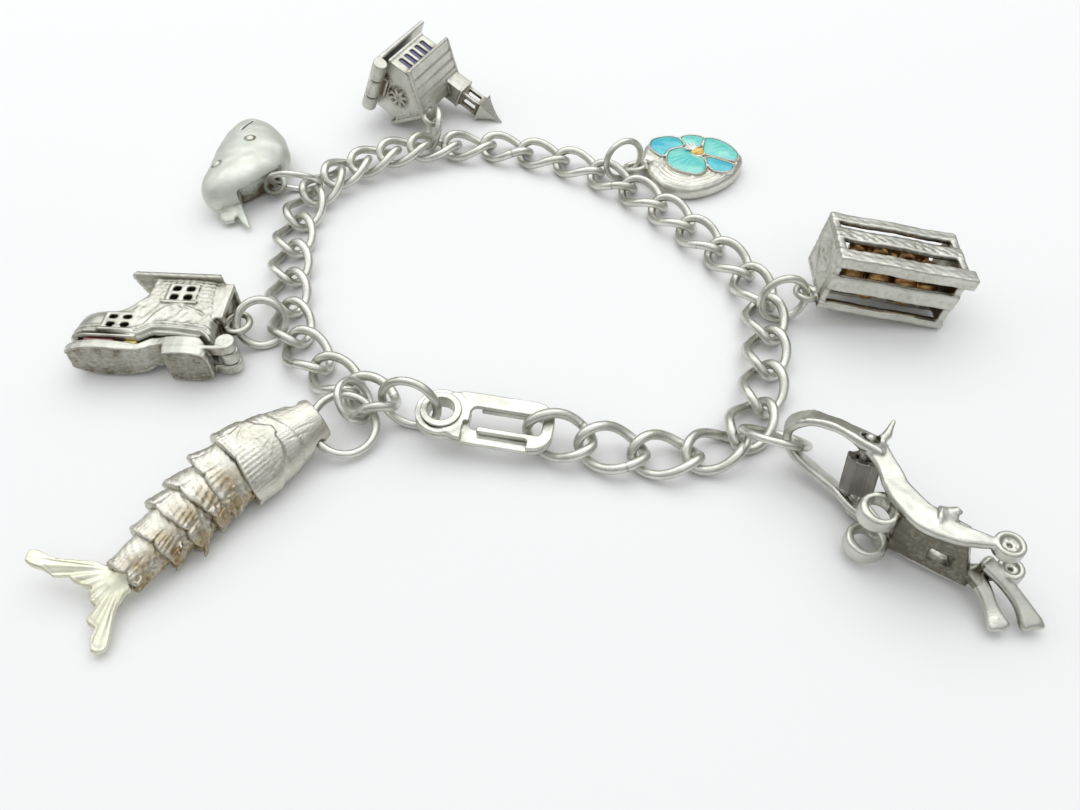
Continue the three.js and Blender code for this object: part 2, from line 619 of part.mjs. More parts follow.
const [headPart, headLength] = fishPart(0);
const [, , , mouthHalf] = FISH_RIMS[0];
const [, , , gillHalf] = FISH_RIMS[1];
const cheekHoles = rod(new THREE.Vector3(1.5, -4, 0), new THREE.Vector3(1.5, 4, 0), 0.8, 12);
const fishHead = cut(
  loft([
    fishRing(-0.1, mouthHalf * 0.7), fishRing(0.3, mouthHalf), fishRing(headLength * 0.3, mouthHalf * 1.25),
    fishRing(headLength * 0.6, gillHalf * 0.87), fishRing(headLength * 0.85, gillHalf * 0.97),
    fishRing(headLength, gillHalf, 0.3),
  ]),
  fishCup(headLength, gillHalf),
  loft([fishRing(-1, mouthHalf * 0.62), fishRing(3.0, mouthHalf * 0.85)]),
  placed(cheekHoles, [0, 0, 0], [FISH_ROLL, 0, 0]));
add('fish_head', fishHead, silver, headPart);
for (let row = 1; row < FISH_RIMS.length - 1; row += 1) {
  const [part, length] = fishPart(row);
  const neck = (FISH_RIMS[row][3] - SCALE_WALL) * NECK_SHARE;
  const rim = FISH_RIMS[row + 1][3];
  const body = loft([
    fishRing(-CUP_DEPTH + 0.5, neck * 0.85),
    fishRing(0.2, neck),
    fishRing(length * 0.55, Math.max(neck * 1.02, rim * 0.8)),
    fishRing(length, rim, 0.3),
  ]);
  add(`fish_segment_${row}`, cut(body, fishCup(length, rim)), silver, part);
}

// The tail fin is a thin plate that slopes down to the near side
const TAIL_FIN = [
  [-38.2, -20.9], [-40.8, -20.4], [-42.7, -20.3], [-44.4, -19.7], [-45.3, -19.8], [-45.2, -20.8],
  [-43.6, -21.5], [-42.7, -22.1], [-41.2, -22.0], [-40.6, -22.6], [-39.2, -22.9], [-39.1, -23.9],
  [-38.5, -24.5], [-39.0, -25.6], [-38.1, -26.4], [-38.3, -27.2], [-37.9, -28.2], [-37.1, -28.4],
  [-36.5, -27.8], [-36.6, -25.0], [-36.3, -23.5], [-35.8, -22.6],
];
const FIN_THICKNESS = 0.7;
const finHeight = (x, y) => 1.75 - 0.0926 * (x + 36.8) + 0.188 * (y + 21.1);

function fishTail() {
  const fin = plate(TAIL_FIN, FIN_THICKNESS);
  const position = fin.attributes.position;
  for (let corner = 0; corner < position.count; corner += 1) {
    const [x, y, z] = [position.getX(corner), position.getY(corner), position.getZ(corner)];
    position.setZ(corner, z + finHeight(x, y));
  }
  const [x, y, z, rim] = FISH_RIMS[FISH_RIMS.length - 1];
  const neck = (rim - SCALE_WALL) * 0.5;
  const root = loft([fishRing(-0.9, neck), fishRing(1.0, neck)]);
  return fuse(fin, placed(root, [x, y, z - 0.1], [0, 4, -127]));
}

add('fish_tail', fishTail(), paleSilver);

// The heart, with a raised flower of five petals
const HEART_THICKNESS = 2.1;
const HEART_EDGE = [
  [13.8, 42.4], [14.3, 45.2], [15.8, 47.0], [18.4, 47.8], [21.9, 47.0], [24.8, 45.6],
  [26.8, 44.0], [27.4, 42.8], [27.0, 41.0], [25.6, 38.6], [22.8, 36.3], [19.5, 35.2],
  [16.6, 36.1], [14.9, 38.0], [14.1, 40.2], [14.6, 41.6],
];
const FLOWER = [21.2, 42.2];
const PETALS = 5;
const PETAL_REACH = 2.6;
const HEART_EYE = 3.4;

function heartCharm() {
  const body = plate(HEART_EDGE, HEART_THICKNESS);
  const petals = Array.from({ length: PETALS }, (_, petal) => {
    const dome = new THREE.SphereGeometry(1, 8, 6).scale(2.0, 1.35, 0.55);
    const angle = 72 * petal + 20;
    const x = FLOWER[0] + PETAL_REACH * Math.cos(angle * DEGREE);
    const y = FLOWER[1] + PETAL_REACH * Math.sin(angle * DEGREE);
    return placed(dome, [x, y, HEART_THICKNESS], [0, 0, angle]);
  });
  const stamens = new THREE.SphereGeometry(1, 8, 6).scale(1.1, 1.1, 0.8);
  const middle = placed(stamens, [...FLOWER, HEART_THICKNESS + 0.1]);
  const eye = placed(ringGeometry(HEART_EYE, SMALL_WIRE), [12.78, 41.2, 1.3], [-15, -10, 0]);
  return fuse(body, ...petals, middle, eye);
}

add('heart_charm', heartCharm(), turquoise);

// The crate: slats round two end panels, with round fruit inside
const CRATE_LENGTH = 14.8;
const CRATE_DEPTH = 8.0;
const CRATE_HEIGHT = 7.1;
const CRATE_PANEL = 0.9;
const CRATE_SLAT = 0.8;
const FRUIT_RADIUS = 1.7;

function crateBox() {
  const L = CRATE_LENGTH;
  const H = CRATE_HEIGHT;
  const D = CRATE_DEPTH;
  const panels = [0, L - CRATE_PANEL].map((x) => box([x, 0, 0], [x + CRATE_PANEL, D, H]));
  const topSlats = [[6.3, D], [3.1, 5.1]].map(([from, to]) => box([0, from, H - CRATE_SLAT], [L, to, H]));
  const edgeSlat = box([-0.1, -0.6, H - 1.6], [L + 0.7, 1.4, H]);
  const frontSlats = [box([0, -0.3, 2.2], [L, 0.6, 4.3]), box([0, -0.3, -0.5], [L, 0.9, 0.5])];
  const backSlats = [box([0, D - CRATE_SLAT, 3.6], [L, D, 5.4]), box([0, D - CRATE_SLAT, 0], [L, D, 2.1])];
  const bottomSlats = [[2.0, 3.8], [5.0, 6.8]].map(([from, to]) => box([0, from, 0], [L, to, CRATE_SLAT]));
  const feet = [1.4, L - 2.4].map((x) => box([x, -0.2, -0.8], [x + 1.6, 0.9, 0]));
  const eye = placed(ringGeometry(3.0, SMALL_WIRE), [-1.2, 1.2, 0.3], [0, 0, 0]);
  return fuse(...panels, ...topSlats, edgeSlat, ...frontSlats, ...backSlats, ...bottomSlats, ...feet, eye);
}

function crateFruit() {
  const floor = CRATE_SLAT + 0.3 + FRUIT_RADIUS;
  const balls = [
    [3.1, 2.9, floor], [6.2, 3.2, floor], [9.3, 2.9, floor], [11.8, 3.3, floor],
    [4.6, 4.9, floor + 0.2], [7.7, 5.0, floor + 0.2], [10.7, 5.1, floor + 0.1],
    [6.0, 3.6, floor + 1.4], [9.0, 3.7, floor + 1.4],
  ].map((place) => placed(new THREE.SphereGeometry(FRUIT_RADIUS, 8, 6), place));
  return fuse(...balls);
}

const crate = lying([30.95, 12.3, 3.15], [-2.2, 9.5, -4.0]);
add('crate_box', crateBox(), silver, crate);
add('crate_fruit', crateFruit(), copper, crate);

// The barrow: a yoke bent round its ring, a wheel on an axle, a tray, two handles and two legs
const AXLE_TOP = [30.3, -10.6, 6.6];
const AXLE_FOOT = [29.6, -13.3, 1.0];
const AXLE_RADIUS = 0.55;
const WHEEL_RADIUS = 1.65;
const WHEEL_FROM = 0.2;
const WHEEL_TO = 0.76;

function barrow() {
  const top = vector(AXLE_TOP);
  const foot = vector(AXLE_FOOT);
  const axis = top.clone().sub(foot).normalize();
  const across = axis.clone().cross(new THREE.Vector3(1, -0.3, 0)).normalize();
  const yoke = strip([
    [31.3, -11.5, 6.6, 2.6, 0.9], [30.0, -10.4, 6.7, 3.0, 0.9], [27.8, -8.6, 6.7, 2.1, 0.9],
    [25.6, -7.4, 6.3, 2.7, 0.9], [24.3, -6.9, 4.9, 2.5, 0.9], [24.1, -7.1, 3.3, 2.4, 0.9],
    [24.8, -8.0, 2.0, 2.4, 0.9], [26.5, -9.6, 1.2, 2.3, 0.9], [28.3, -11.7, 1.0, 1.9, 0.8],
    [29.7, -13.4, 0.75, 2.8, 0.8], [30.6, -14.6, 0.75, 2.4, 0.8],
  ], across);
  const upperSide = strip([
    [30.4, -10.6, 6.6, 2.6, 0.9], [31.2, -12.8, 6.6, 2.0, 0.9], [31.7, -15.8, 6.5, 2.4, 0.9],
    [33.2, -18.6, 6.4, 2.8, 0.9], [35.6, -20.4, 6.4, 2.0, 0.9], [38.8, -21.3, 6.3, 0.9, 0.9],
  ], new THREE.Vector3(1, 0.3, 0));
  const lowerSide = strip([
    [29.9, -13.6, 0.75, 2.4, 0.8], [31.2, -15.6, 0.7, 1.8, 0.8], [33.0, -17.6, 0.7, 2.0, 0.8],
    [35.6, -19.8, 0.7, 2.0, 0.8], [38.2, -21.2, 0.9, 1.8, 0.8], [40.3, -21.9, 2.2, 1.0, 0.8],
  ], new THREE.Vector3(1, 0.3, 0));
  const quad = (points) => points.map((p) => vector(p));
  const tray = loft([
    quad([[31.2, -18.5, 0.6], [37.9, -22.1, 0.6], [38.6, -20.6, 0.6], [32.2, -16.6, 0.6]]),
    quad([[31.9, -17.2, 6.4], [36.2, -21.2, 6.4], [37.0, -20.0, 6.4], [33.0, -15.6, 6.4]]),
  ]);
  const tab = box([34.2, -19.6, 6.2], [36.0, -17.9, 7.0]);
  const tube = (x, y, low, high, outer, inner) => cut(
    rod(new THREE.Vector3(x, y, low), new THREE.Vector3(x, y, high), outer, 12),
    rod(new THREE.Vector3(x, y, low - 1), new THREE.Vector3(x, y, high + 1), inner, 12));
  const scrolls = [tube(30.0, -17.3, 4.3, 6.0, 1.85, 1.1), tube(29.6, -18.0, 0.5, 2.2, 1.95, 1.2)];
  const cups = [tube(39.6, -21.5, 5.5, 6.8, 1.35, 0.8), tube(40.9, -21.8, 2.1, 3.4, 1.2, 0.6)];
  const nearLeg = strip([
    [37.9, -21.4, 2.2, 1.8, 1.0], [38.6, -23.0, 1.7, 1.5, 0.9],
    [39.0, -24.6, 1.1, 1.5, 0.8], [39.3, -26.0, 0.6, 2.0, 0.9],
  ], new THREE.Vector3(1, 0, 0));
  const farLeg = strip([
    [38.8, -21.4, 3.4, 1.5, 1.0], [40.3, -22.9, 2.5, 1.3, 0.9],
    [41.5, -24.3, 1.5, 1.5, 0.9], [42.2, -25.8, 0.6, 2.2, 0.9],
  ], new THREE.Vector3(1, 0, 0));
  const horn = rod(new THREE.Vector3(31.2, -10.6, 6.6), new THREE.Vector3(32.6, -9.0, 7.6), 0.5, 6, 0.25);
  const axle = rod(foot, top.clone().addScaledVector(axis, 0.3), AXLE_RADIUS, 10);
  const hole = loft([
    quad([[34.2, -22.0, 1.9], [35.9, -23.0, 1.9], [36.6, -18.0, 1.9], [34.9, -17.0, 1.9]]),
    quad([[34.2, -22.0, 3.3], [35.9, -23.0, 3.3], [36.6, -18.0, 3.3], [34.9, -17.0, 3.3]]),
  ]);
  return fuse(
    yoke, upperSide, lowerSide, cut(tray, hole), tab, ...scrolls, ...cups, nearLeg, farLeg, horn, axle);
}

function barrowWheel() {
  const top = vector(AXLE_TOP);
  const foot = vector(AXLE_FOOT);
  const from = foot.clone().lerp(top, WHEEL_FROM);
  const to = foot.clone().lerp(top, WHEEL_TO);
  return cut(
    rod(from, to, WHEEL_RADIUS, 16),
    rod(foot, top, AXLE_RADIUS + CLEARANCE, 10));
}

const barrowPlace = lying([0, 0, 0.37], [0, 0, 0]);
add('barrow_body', barrow(), silver, barrowPlace);
add('barrow_wheel', barrowWheel(), darkSilver, barrowPlace);

// Jump rings. Columns: name, outer diameter, wire, middle, turn about X, Y and Z
const JUMP_RINGS = [
  ['clasp_ring', 6.8, 0.9, [-13.14, -2.74, 3.4], [74, -66, 0]],
  ['ring_fish_chain', 5.2, 0.8, [-18.9, -1.9, 2.89], [7, 52, 0]],
  ['ring_fish_mouth', 7.2, 0.85, [-19.68, -4.45, 2.18], [-19, -163, 0]],
  ['ring_church', 6.2, 0.9, [-14.64, 48.04, 2.94], [-11, 109, 0]],
  ['ring_whale', 7.0, 0.8, [-31.6, 35.72, 2.83], [53, -176, 0]],
  ['ring_boot', 6.0, 0.9, [-30.86, 9.85, 2.53], [-51, -152, 0]],
  ['ring_heart', 6.0, 0.8, [11.06, 40.43, 2.95], [63, 79, 0]],
  ['ring_crate', 6.2, 0.9, [27.41, 13.15, 3.06], [77, 47, 0]],
  ['ring_barrow', 7.4, 0.8, [23.17, -6.48, 2.63], [39, -163, 0]],
];
for (const [name, diameter, wire, place, turn] of JUMP_RINGS) {
  add(name, placed(ringGeometry(diameter, wire), place, turn), silver);
}

// The row's origin is the middle of the bracelet in plan, on the table it lies on
bracelet.updateMatrixWorld(true);
const bounds = new THREE.Box3().setFromObject(bracelet, true);
const middle = bounds.getCenter(new THREE.Vector3());
bracelet.position.set(-middle.x, -middle.y, -bounds.min.z);
bracelet.updateMatrixWorld(true);

export default bracelet;
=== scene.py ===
import math

import bpy
import numpy as np
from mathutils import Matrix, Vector


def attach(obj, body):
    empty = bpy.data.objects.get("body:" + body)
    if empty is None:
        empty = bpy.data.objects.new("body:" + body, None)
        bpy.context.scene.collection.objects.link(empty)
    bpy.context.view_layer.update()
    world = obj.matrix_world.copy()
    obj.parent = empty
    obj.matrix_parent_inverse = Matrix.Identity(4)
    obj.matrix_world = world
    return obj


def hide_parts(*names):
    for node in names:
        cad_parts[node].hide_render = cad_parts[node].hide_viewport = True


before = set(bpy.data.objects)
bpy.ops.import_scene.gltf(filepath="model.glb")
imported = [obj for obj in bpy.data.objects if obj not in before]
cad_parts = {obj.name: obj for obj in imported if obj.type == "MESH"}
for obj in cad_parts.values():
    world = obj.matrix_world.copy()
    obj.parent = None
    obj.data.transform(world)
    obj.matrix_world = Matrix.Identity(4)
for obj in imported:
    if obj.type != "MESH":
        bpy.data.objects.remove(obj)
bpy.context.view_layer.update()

# Every length is in millimetres until a mesh is made. The layout's own origin is the point
# that the camera looks at; SHIFT carries the layout into the row frame.
MM = 0.001
SHIFT = np.array([1.61666, -18.05764, 0.0])
FAR = 6.0
REACH = 1.6
TABLE_GAP = 0.00001
ROOT = "bracelet_body"
LENS, SENSOR = 30, 36
CAMERA_PLACE = (0, -62.17, 71.89)
NEAR_CLIP = 0.001
FLOOR_HALF, FLOOR_DROP, FLOOR_GREY, FLOOR_ROUGH, FLOOR_SHINE = 1.5, 0.00002, 0.86, 0.9, 0.1
# The tent round the table: how high each tone begins, its colour, and the strength of all
HORIZON, HORIZON_COLOUR = 0.02, (0.10, 0.10, 0.095, 1)
OVERHEAD, OVERHEAD_COLOUR = 0.75, (0.92, 0.94, 0.95, 1)
TENT_STRENGTH = 0.86
# Columns of a lamp, in metres and watts: name, place, size, power, colour
LAMPS = (("above", (0.0, 0.20, 0.44), (0.80, 0.56), 1.62, (1, 1, 1)),
         ("left", (-0.45, 0.10, 0.22), (0.26, 0.26), 0.2, (1, 0.99, 0.97)),
         ("front", (0.15, -0.35, 0.45), (0.40, 0.30), 0.14, (0.98, 0.99, 1)))
# Grid steps of the cast pieces, finer where the relief is finer
GRID = {"clasp": 0.1, "church": 0.143, "plate": 0.12, "pane": 0.12, "whale": 0.14, "boot": 0.138,
        "sole": 0.125, "bumps": 0.1, "fish_head": 0.12, "scales": 0.11, "tail": 0.1, "heart": 0.13,
        "petal": 0.1, "middle": 0.08, "stamens": 0.07, "crate": 0.15, "balls": 0.15, "barrow": 0.135,
        "wheel": 0.09}


# Turns and places
def turn_matrix(turn):
    """Turns about X, then Y, then Z, in degrees."""
    rx, ry, rz = [math.radians(a) for a in turn]
    cx, sx, cy, sy, cz, sz = (
        math.cos(rx), math.sin(rx), math.cos(ry), math.sin(ry), math.cos(rz), math.sin(rz))
    about_x = np.array([[1, 0, 0], [0, cx, -sx], [0, sx, cx]])
    about_y = np.array([[cy, 0, sy], [0, 1, 0], [-sy, 0, cy]])
    about_z = np.array([[cz, -sz, 0], [sz, cz, 0], [0, 0, 1]])
    return about_z @ about_y @ about_x


class Frame:
    """Where a charm lies in the layout."""

    def __init__(self, place=(0, 0, 0), turn=(0, 0, 0)):
        self.place = np.array(place, float)
        self.matrix = turn_matrix(turn)

    def out(self, points):
        """Local millimetres to metres in the row frame."""
        return (points @ self.matrix.T + self.place + SHIFT) * MM


LAYOUT = Frame()


# Shapes as signed distances
def unit(value):
    return np.clip(value, 0, 1)


def bell(value, width):
    """A soft bump, 1 where the value is 0."""
    return np.exp(-(value / width) ** 2)


class Shape:
    def __init__(self, distance, low, high):
        self.distance = distance
        self.low = np.array(low, float)
        self.high = np.array(high, float)

    def at(self, place=(0, 0, 0), turn=(0, 0, 0)):
        matrix = turn_matrix(turn)
        place = np.array(place, float)
        corners = np.array([[x, y, z] for x in (self.low[0], self.high[0])
                            for y in (self.low[1], self.high[1]) for z in (self.low[2], self.high[2])])
        corners = corners @ matrix.T + place
        inner = self.distance

        def distance(x, y, z):
            x, y, z = x - place[0], y - place[1], z - place[2]
            m = matrix
            return inner(m[0, 0] * x + m[1, 0] * y + m[2, 0] * z,
                         m[0, 1] * x + m[1, 1] * y + m[2, 1] * z,
                         m[0, 2] * x + m[1, 2] * y + m[2, 2] * z)

        return Shape(distance, corners.min(0), corners.max(0))


def rounded(sides, soft):
    """Distance to where all the sides are below zero, with edges of radius soft."""
    sides = [s + soft for s in sides]
    outside = sum(np.maximum(s, 0) ** 2 for s in sides)
    deepest = sides[0]
    for s in sides[1:]:
        deepest = np.maximum(deepest, s)
    return np.sqrt(outside) + np.minimum(deepest, 0) - soft


def block(low, high, soft=0.12):
    low, high = np.array(low, float), np.array(high, float)
    mid, half = (low + high) / 2, (high - low) / 2

    def distance(x, y, z):
        return rounded([abs(x - mid[0]) - half[0], abs(y - mid[1]) - half[1], abs(z - mid[2]) - half[2]],
                       soft)

    return Shape(distance, low, high)


def slab(x0, x1, y0, y1, z0, z1, soft=0.12):
    """A block whose sides may be given in either order."""
    return block((min(x0, x1), min(y0, y1), min(z0, z1)), (max(x0, x1), max(y0, y1), max(z0, z1)), soft)


def ball(centre, radii):
    centre = np.array(centre, float)
    radii = np.ones(3) * radii
    small = radii.min()

    def distance(x, y, z):
        q = np.sqrt(sum(((p - c) / r) ** 2 for p, c, r in zip((x, y, z), centre, radii)))
        return (q - 1) * small

    return Shape(distance, centre - radii, centre + radii)


def pill(a, b, ra, rb=None):
    a, b = np.array(a, float), np.array(b, float)
    rb = ra if rb is None else rb
    along = b - a
    size = along @ along

    def distance(x, y, z):
        px, py, pz = x - a[0], y - a[1], z - a[2]
        t = unit((px * along[0] + py * along[1] + pz * along[2]) / size)
        away = np.sqrt((px - t * along[0]) ** 2 + (py - t * along[1]) ** 2 + (pz - t * along[2]) ** 2)
        return away - (ra + (rb - ra) * t)

    big = max(ra, rb)
    return Shape(distance, np.minimum(a, b) - big, np.maximum(a, b) + big)


def drum(a, b, radius, soft=0.1, bore=None):
    """A round bar from a to b with flat ends, or a tube."""
    a, b = np.array(a, float), np.array(b, float)
    mid, half = (a + b) / 2, np.linalg.norm(b - a) / 2
    axis = (b - a) / (2 * half)

    def distance(x, y, z):
        px, py, pz = x - mid[0], y - mid[1], z - mid[2]
        t = px * axis[0] + py * axis[1] + pz * axis[2]
        r = np.sqrt(np.maximum(px ** 2 + py ** 2 + pz ** 2 - t ** 2, 0))
        sides = [r - radius, abs(t) - half]
        if bore:
            sides.append(bore - r)
        return rounded(sides, soft)

    size = np.sqrt(np.maximum(1 - axis ** 2, 0)) * radius
    return Shape(distance, np.minimum(a, b) - size, np.maximum(a, b) + size)


def hoop(centre, radius, wire, turn=(0, 0, 0)):
    """A ring of round wire; the radius is that of the wire's middle."""
    def distance(x, y, z):
        return np.sqrt((np.sqrt(x ** 2 + y ** 2) - radius) ** 2 + z ** 2) - wire / 2

    big = radius + wire / 2
    return Shape(distance, [-big, -big, -wire / 2], [big, big, wire / 2]).at(centre, turn)


def outline_distance(points, u, v):
    points = np.array(points, float)
    shape = np.broadcast(u, v).shape
    best = np.full(shape, 1e9)
    inside = np.zeros(shape, bool)
    for (ax, ay), (bx, by) in zip(points, np.roll(points, -1, 0)):
        ex, ey = bx - ax, by - ay
        t = unit(((u - ax) * ex + (v - ay) * ey) / (ex * ex + ey * ey + 1e-12))
        best = np.minimum(best, (u - ax - t * ex) ** 2 + (v - ay - t * ey) ** 2)
        if abs(ey) > 1e-9:
            inside ^= ((ay > v) != (by > v)) & (u < ex * (v - ay) / ey + ax)
    return np.where(inside, -1, 1) * np.sqrt(best)


def prism(points, low, high, soft=0.1, along="z"):
    """An outline given a thickness; along y it lies in XZ and along x in YZ."""
    points = np.array(points, float)
    pick = {"z": (0, 1, 2), "y": (0, 2, 1), "x": (1, 2, 0)}[along]
    mid, half = (low + high) / 2, (high - low) / 2

    def distance(x, y, z):
        axes = (x, y, z)
        side = outline_distance(points, axes[pick[0]], axes[pick[1]])
        return rounded([side, abs(axes[pick[2]] - mid) - half], soft)

    box_low, box_high = np.zeros(3), np.zeros(3)
    box_low[[pick[0], pick[1]]], box_low[pick[2]] = points.min(0), low
    box_high[[pick[0], pick[1]]], box_high[pick[2]] = points.max(0), high
    return Shape(distance, box_low, box_high)


def curve(points, closed=False, steps=4):
    """Smooth curve through the points, with all their columns."""
    points = np.array(points, float)
    count = len(points)
    rows = []
    spans = count if closed else count - 1
    for i in range(spans):
        if closed:
            p0, p1, p2, p3 = [points[(i + k) % count] for k in (-1, 0, 1, 2)]
        else:
            p1, p2 = points[i], points[i + 1]
            p0 = points[i - 1] if i else 2 * p1 - p2
            p3 = points[i + 2] if i + 2 < count else 2 * p2 - p1
        for k in range(steps):
            t = k / steps
            rows.append(0.5 * (2 * p1 + (p2 - p0) * t + (2 * p0 - 5 * p1 + 4 * p2 - p3) * t * t
                               + (3 * p1 - p0 - 3 * p2 + p3) * t ** 3))
    if not closed:
        rows.append(points[-1])
    return np.array(rows)


def ribbon(rows, across, soft=0.3, steps=4):
    """A flat strap along a path; the rows give the place, the width and the thickness."""
    rows = curve(rows, steps=steps)
    centres, widths, thick = rows[:, :3], rows[:, 3], rows[:, 4]
    across = np.array(across, float)
    parts = []
    for i in range(len(rows) - 1):
        a, b = centres[i], centres[i + 1]
        along = (b - a) / np.linalg.norm(b - a)
        side = across - along * (along @ across)
        side /= np.linalg.norm(side)
        parts.append((a, b - a, along, side, np.cross(along, side), widths[i:i + 2] / 2, thick[i:i + 2] / 2))

    def distance(x, y, z):
        best = None
        for a, ab, along, side, up, w, h in parts:
            px, py, pz = x - a[0], y - a[1], z - a[2]
            t = unit((px * ab[0] + py * ab[1] + pz * ab[2]) / (ab @ ab))
            px, py, pz = px - t * ab[0], py - t * ab[1], pz - t * ab[2]
            s = abs(px * side[0] + py * side[1] + pz * side[2]) - (w[0] + (w[1] - w[0]) * t)
            u = abs(px * up[0] + py * up[1] + pz * up[2]) - (h[0] + (h[1] - h[0]) * t)
            r = px * along[0] + py * along[1] + pz * along[2]
            k = np.minimum(soft, h[0])
            d = np.sqrt(np.maximum(s + k, 0) ** 2 + np.maximum(u + k, 0) ** 2 + r * r)
            d = d + np.minimum(np.maximum(s + k, u + k), 0) - k
            best = d if best is None else np.minimum(best, d)
        return best

    big = max(widths.max(), thick.max()) / 2
    return Shape(distance, centres.min(0) - big, centres.max(0) + big)


# Cast pieces
class Cast:
    """Signed distances on a grid of millimetres, which become one smooth closed mesh."""

    def __init__(self, low, high, step=0.12):
        self.step = step
        self.low = np.array(low, float) - 4 * step
        counts = np.ceil((np.array(high, float) + 4 * step - self.low) / step).astype(int) + 1
        self.axes = [self.low[k] + step * np.arange(counts[k]) for k in range(3)]
        self.d = np.full(counts, FAR, np.float32)

    def window(self, shape, margin):
        slices = []
        for axis, low, high in zip(self.axes, shape.low, shape.high):
            first = max(int(np.searchsorted(axis, low - margin)) - 1, 0)
            last = min(int(np.searchsorted(axis, high + margin)) + 1, len(axis))
            slices.append(slice(first, last))
        x = self.axes[0][slices[0]][:, None, None]
        y = self.axes[1][slices[1]][None, :, None]
        z = self.axes[2][slices[2]][None, None, :]
        return tuple(slices), (x, y, z)

    def add(self, shape, blend=0.0):
        where, grid = self.window(shape, REACH + blend)
        here = self.d[where]
        d = shape.distance(*grid)
        if blend:
            h = unit(0.5 + 0.5 * (here - d) / blend)
            here[...] = here * (1 - h) + d * h - blend * h * (1 - h)
        else:
            here[...] = np.minimum(here, d)
        return self

    def cut(self, shape, blend=0.0):
        where, grid = self.window(shape, 0.4 + blend)
        here = self.d[where]
        d = -shape.distance(*grid)
        if blend:
            h = unit(0.5 - 0.5 * (here - d) / blend)
            here[...] = here * (1 - h) + d * h + blend * h * (1 - h)
        else:
            here[...] = np.maximum(here, d)
        return self

    def relief(self, height, low, high):
        """Moves the surface out by the height, inside a box."""
        where, grid = self.window(Shape(None, low, high), 0)
        self.d[where] -= height(*grid).astype(np.float32)
        return self

    def sample(self, points):
        q = np.clip((points - self.low) / self.step, 0, np.array(self.d.shape) - 1.001)
        i = q.astype(int)
        f = q - i
        total = 0
        for dx in (0, 1):
            for dy in (0, 1):
                for dz in (0, 1):
                    weight = (abs(1 - dx - f[:, 0]) * abs(1 - dy - f[:, 1]) * abs(1 - dz - f[:, 2]))
                    total = total + weight * self.d[i[:, 0] + dx, i[:, 1] + dy, i[:, 2] + dz]
        return total

    def even(self):
        """Makes the distances near the surface true ones, where a shape's own are only roughly so."""
        slope = np.sqrt(sum(g ** 2 for g in np.gradient(self.d, self.step)))
        self.d /= np.clip(slope, 0.4, 1.6)
        return self

    def surface(self):
        d = self.d
        inside = d < 0
        offsets = np.array([[x, y, z] for x in (0, 1) for y in (0, 1) for z in (0, 1)])
        nx, ny, nz = [n - 1 for n in d.shape]
        total = np.zeros((nx, ny, nz), np.int8)
        for x, y, z in offsets:
            total += inside[x:x + nx, y:y + ny, z:z + nz]
        mixed = (total > 0) & (total < 8)
        cells = np.argwhere(mixed)
        corner = np.stack([d[tuple((cells + o).T)] for o in offsets], 1)
        place = np.zeros((len(cells), 3))
        found = np.zeros(len(cells))
        for a in range(8):
            for b in range(a + 1, 8):
                if abs(offsets[a] - offsets[b]).sum() != 1:
                    continue
                va, vb = corner[:, a], corner[:, b]
                cross = (va < 0) != (vb < 0)
                t = np.where(cross, va / np.where(cross, va - vb, 1), 0)[:, None]
                place += cross[:, None] * (offsets[a] + t * (offsets[b] - offsets[a]))
                found += cross
        points = self.low + self.step * (cells + place / found[:, None])
        index = np.full(mixed.shape, -1)
        index[mixed] = np.arange(len(cells))
        faces = []
        around = {0: [(0, -1, -1), (0, 0, -1), (0, 0, 0), (0, -1, 0)],
                  1: [(-1, 0, -1), (-1, 0, 0), (0, 0, 0), (0, 0, -1)],
                  2: [(-1, -1, 0), (0, -1, 0), (0, 0, 0), (-1, 0, 0)]}
        for axis in range(3):
            first = [slice(None)] * 3
            second = [slice(None)] * 3
            first[axis], second[axis] = slice(0, -1), slice(1, None)
            edges = np.argwhere(inside[tuple(first)] != inside[tuple(second)])
            edges = edges[(edges > 0).all(1) & (edges < np.array(mixed.shape)).all(1)]
            quads = np.stack([index[tuple((edges + o).T)] for o in around[axis]], 1)
            leaving = inside[tuple(edges.T)]
            quads[~leaving] = quads[~leaving][:, ::-1]
            faces.append(quads)
        return points, np.concatenate(faces)

    def normals(self, points):
        e = self.step
        gradient = np.stack([self.sample(points + o) - self.sample(points - o) for o in np.eye(3) * e], 1)
        return gradient / (np.linalg.norm(gradient, axis=1)[:, None] + 1e-9)

    def hollow(self, points):
        """How far each point lies in a corner or a groove, from 0 to 1."""
        normals = self.normals(points)
        total = 0
        for away, share in ((0.3, 0.35), (0.7, 0.35), (1.4, 0.3)):
            total = total + share * unit(1 - self.sample(points + normals * away) / away)
        return total

    def settle(self, points, faces, rounds):
        """Evens the mesh out and puts it back on the surface."""
        for _ in range(rounds):
            mean = np.zeros_like(points)
            count = np.zeros(len(points))
            for k in range(4):
                np.add.at(mean, faces[:, k], points[faces[:, (k + 1) % 4]] + points[faces[:, k - 1]])
                np.add.at(count, faces[:, k], 2)
            points = 0.5 * points + 0.5 * mean / count[:, None]
            points = points - self.normals(points) * (self.sample(points) * 0.8)[:, None]
        return points

    def piece(self, name, place, material, body=ROOT, nodes=(), slot="cast_silver", rounds=1, painted_shade_and_tone=None):
        points, faces = self.surface()
        points = self.settle(points, faces, rounds)
        dark = self.hollow(points)
        # painted shade, and on a few pieces a tone of their own, added to the darkening from hollows
        if painted_shade_and_tone:
            dark = dark + painted_shade_and_tone(*points.T, self.normals(points))
        return make(name, place.out(points), faces, material, body, nodes, dark)


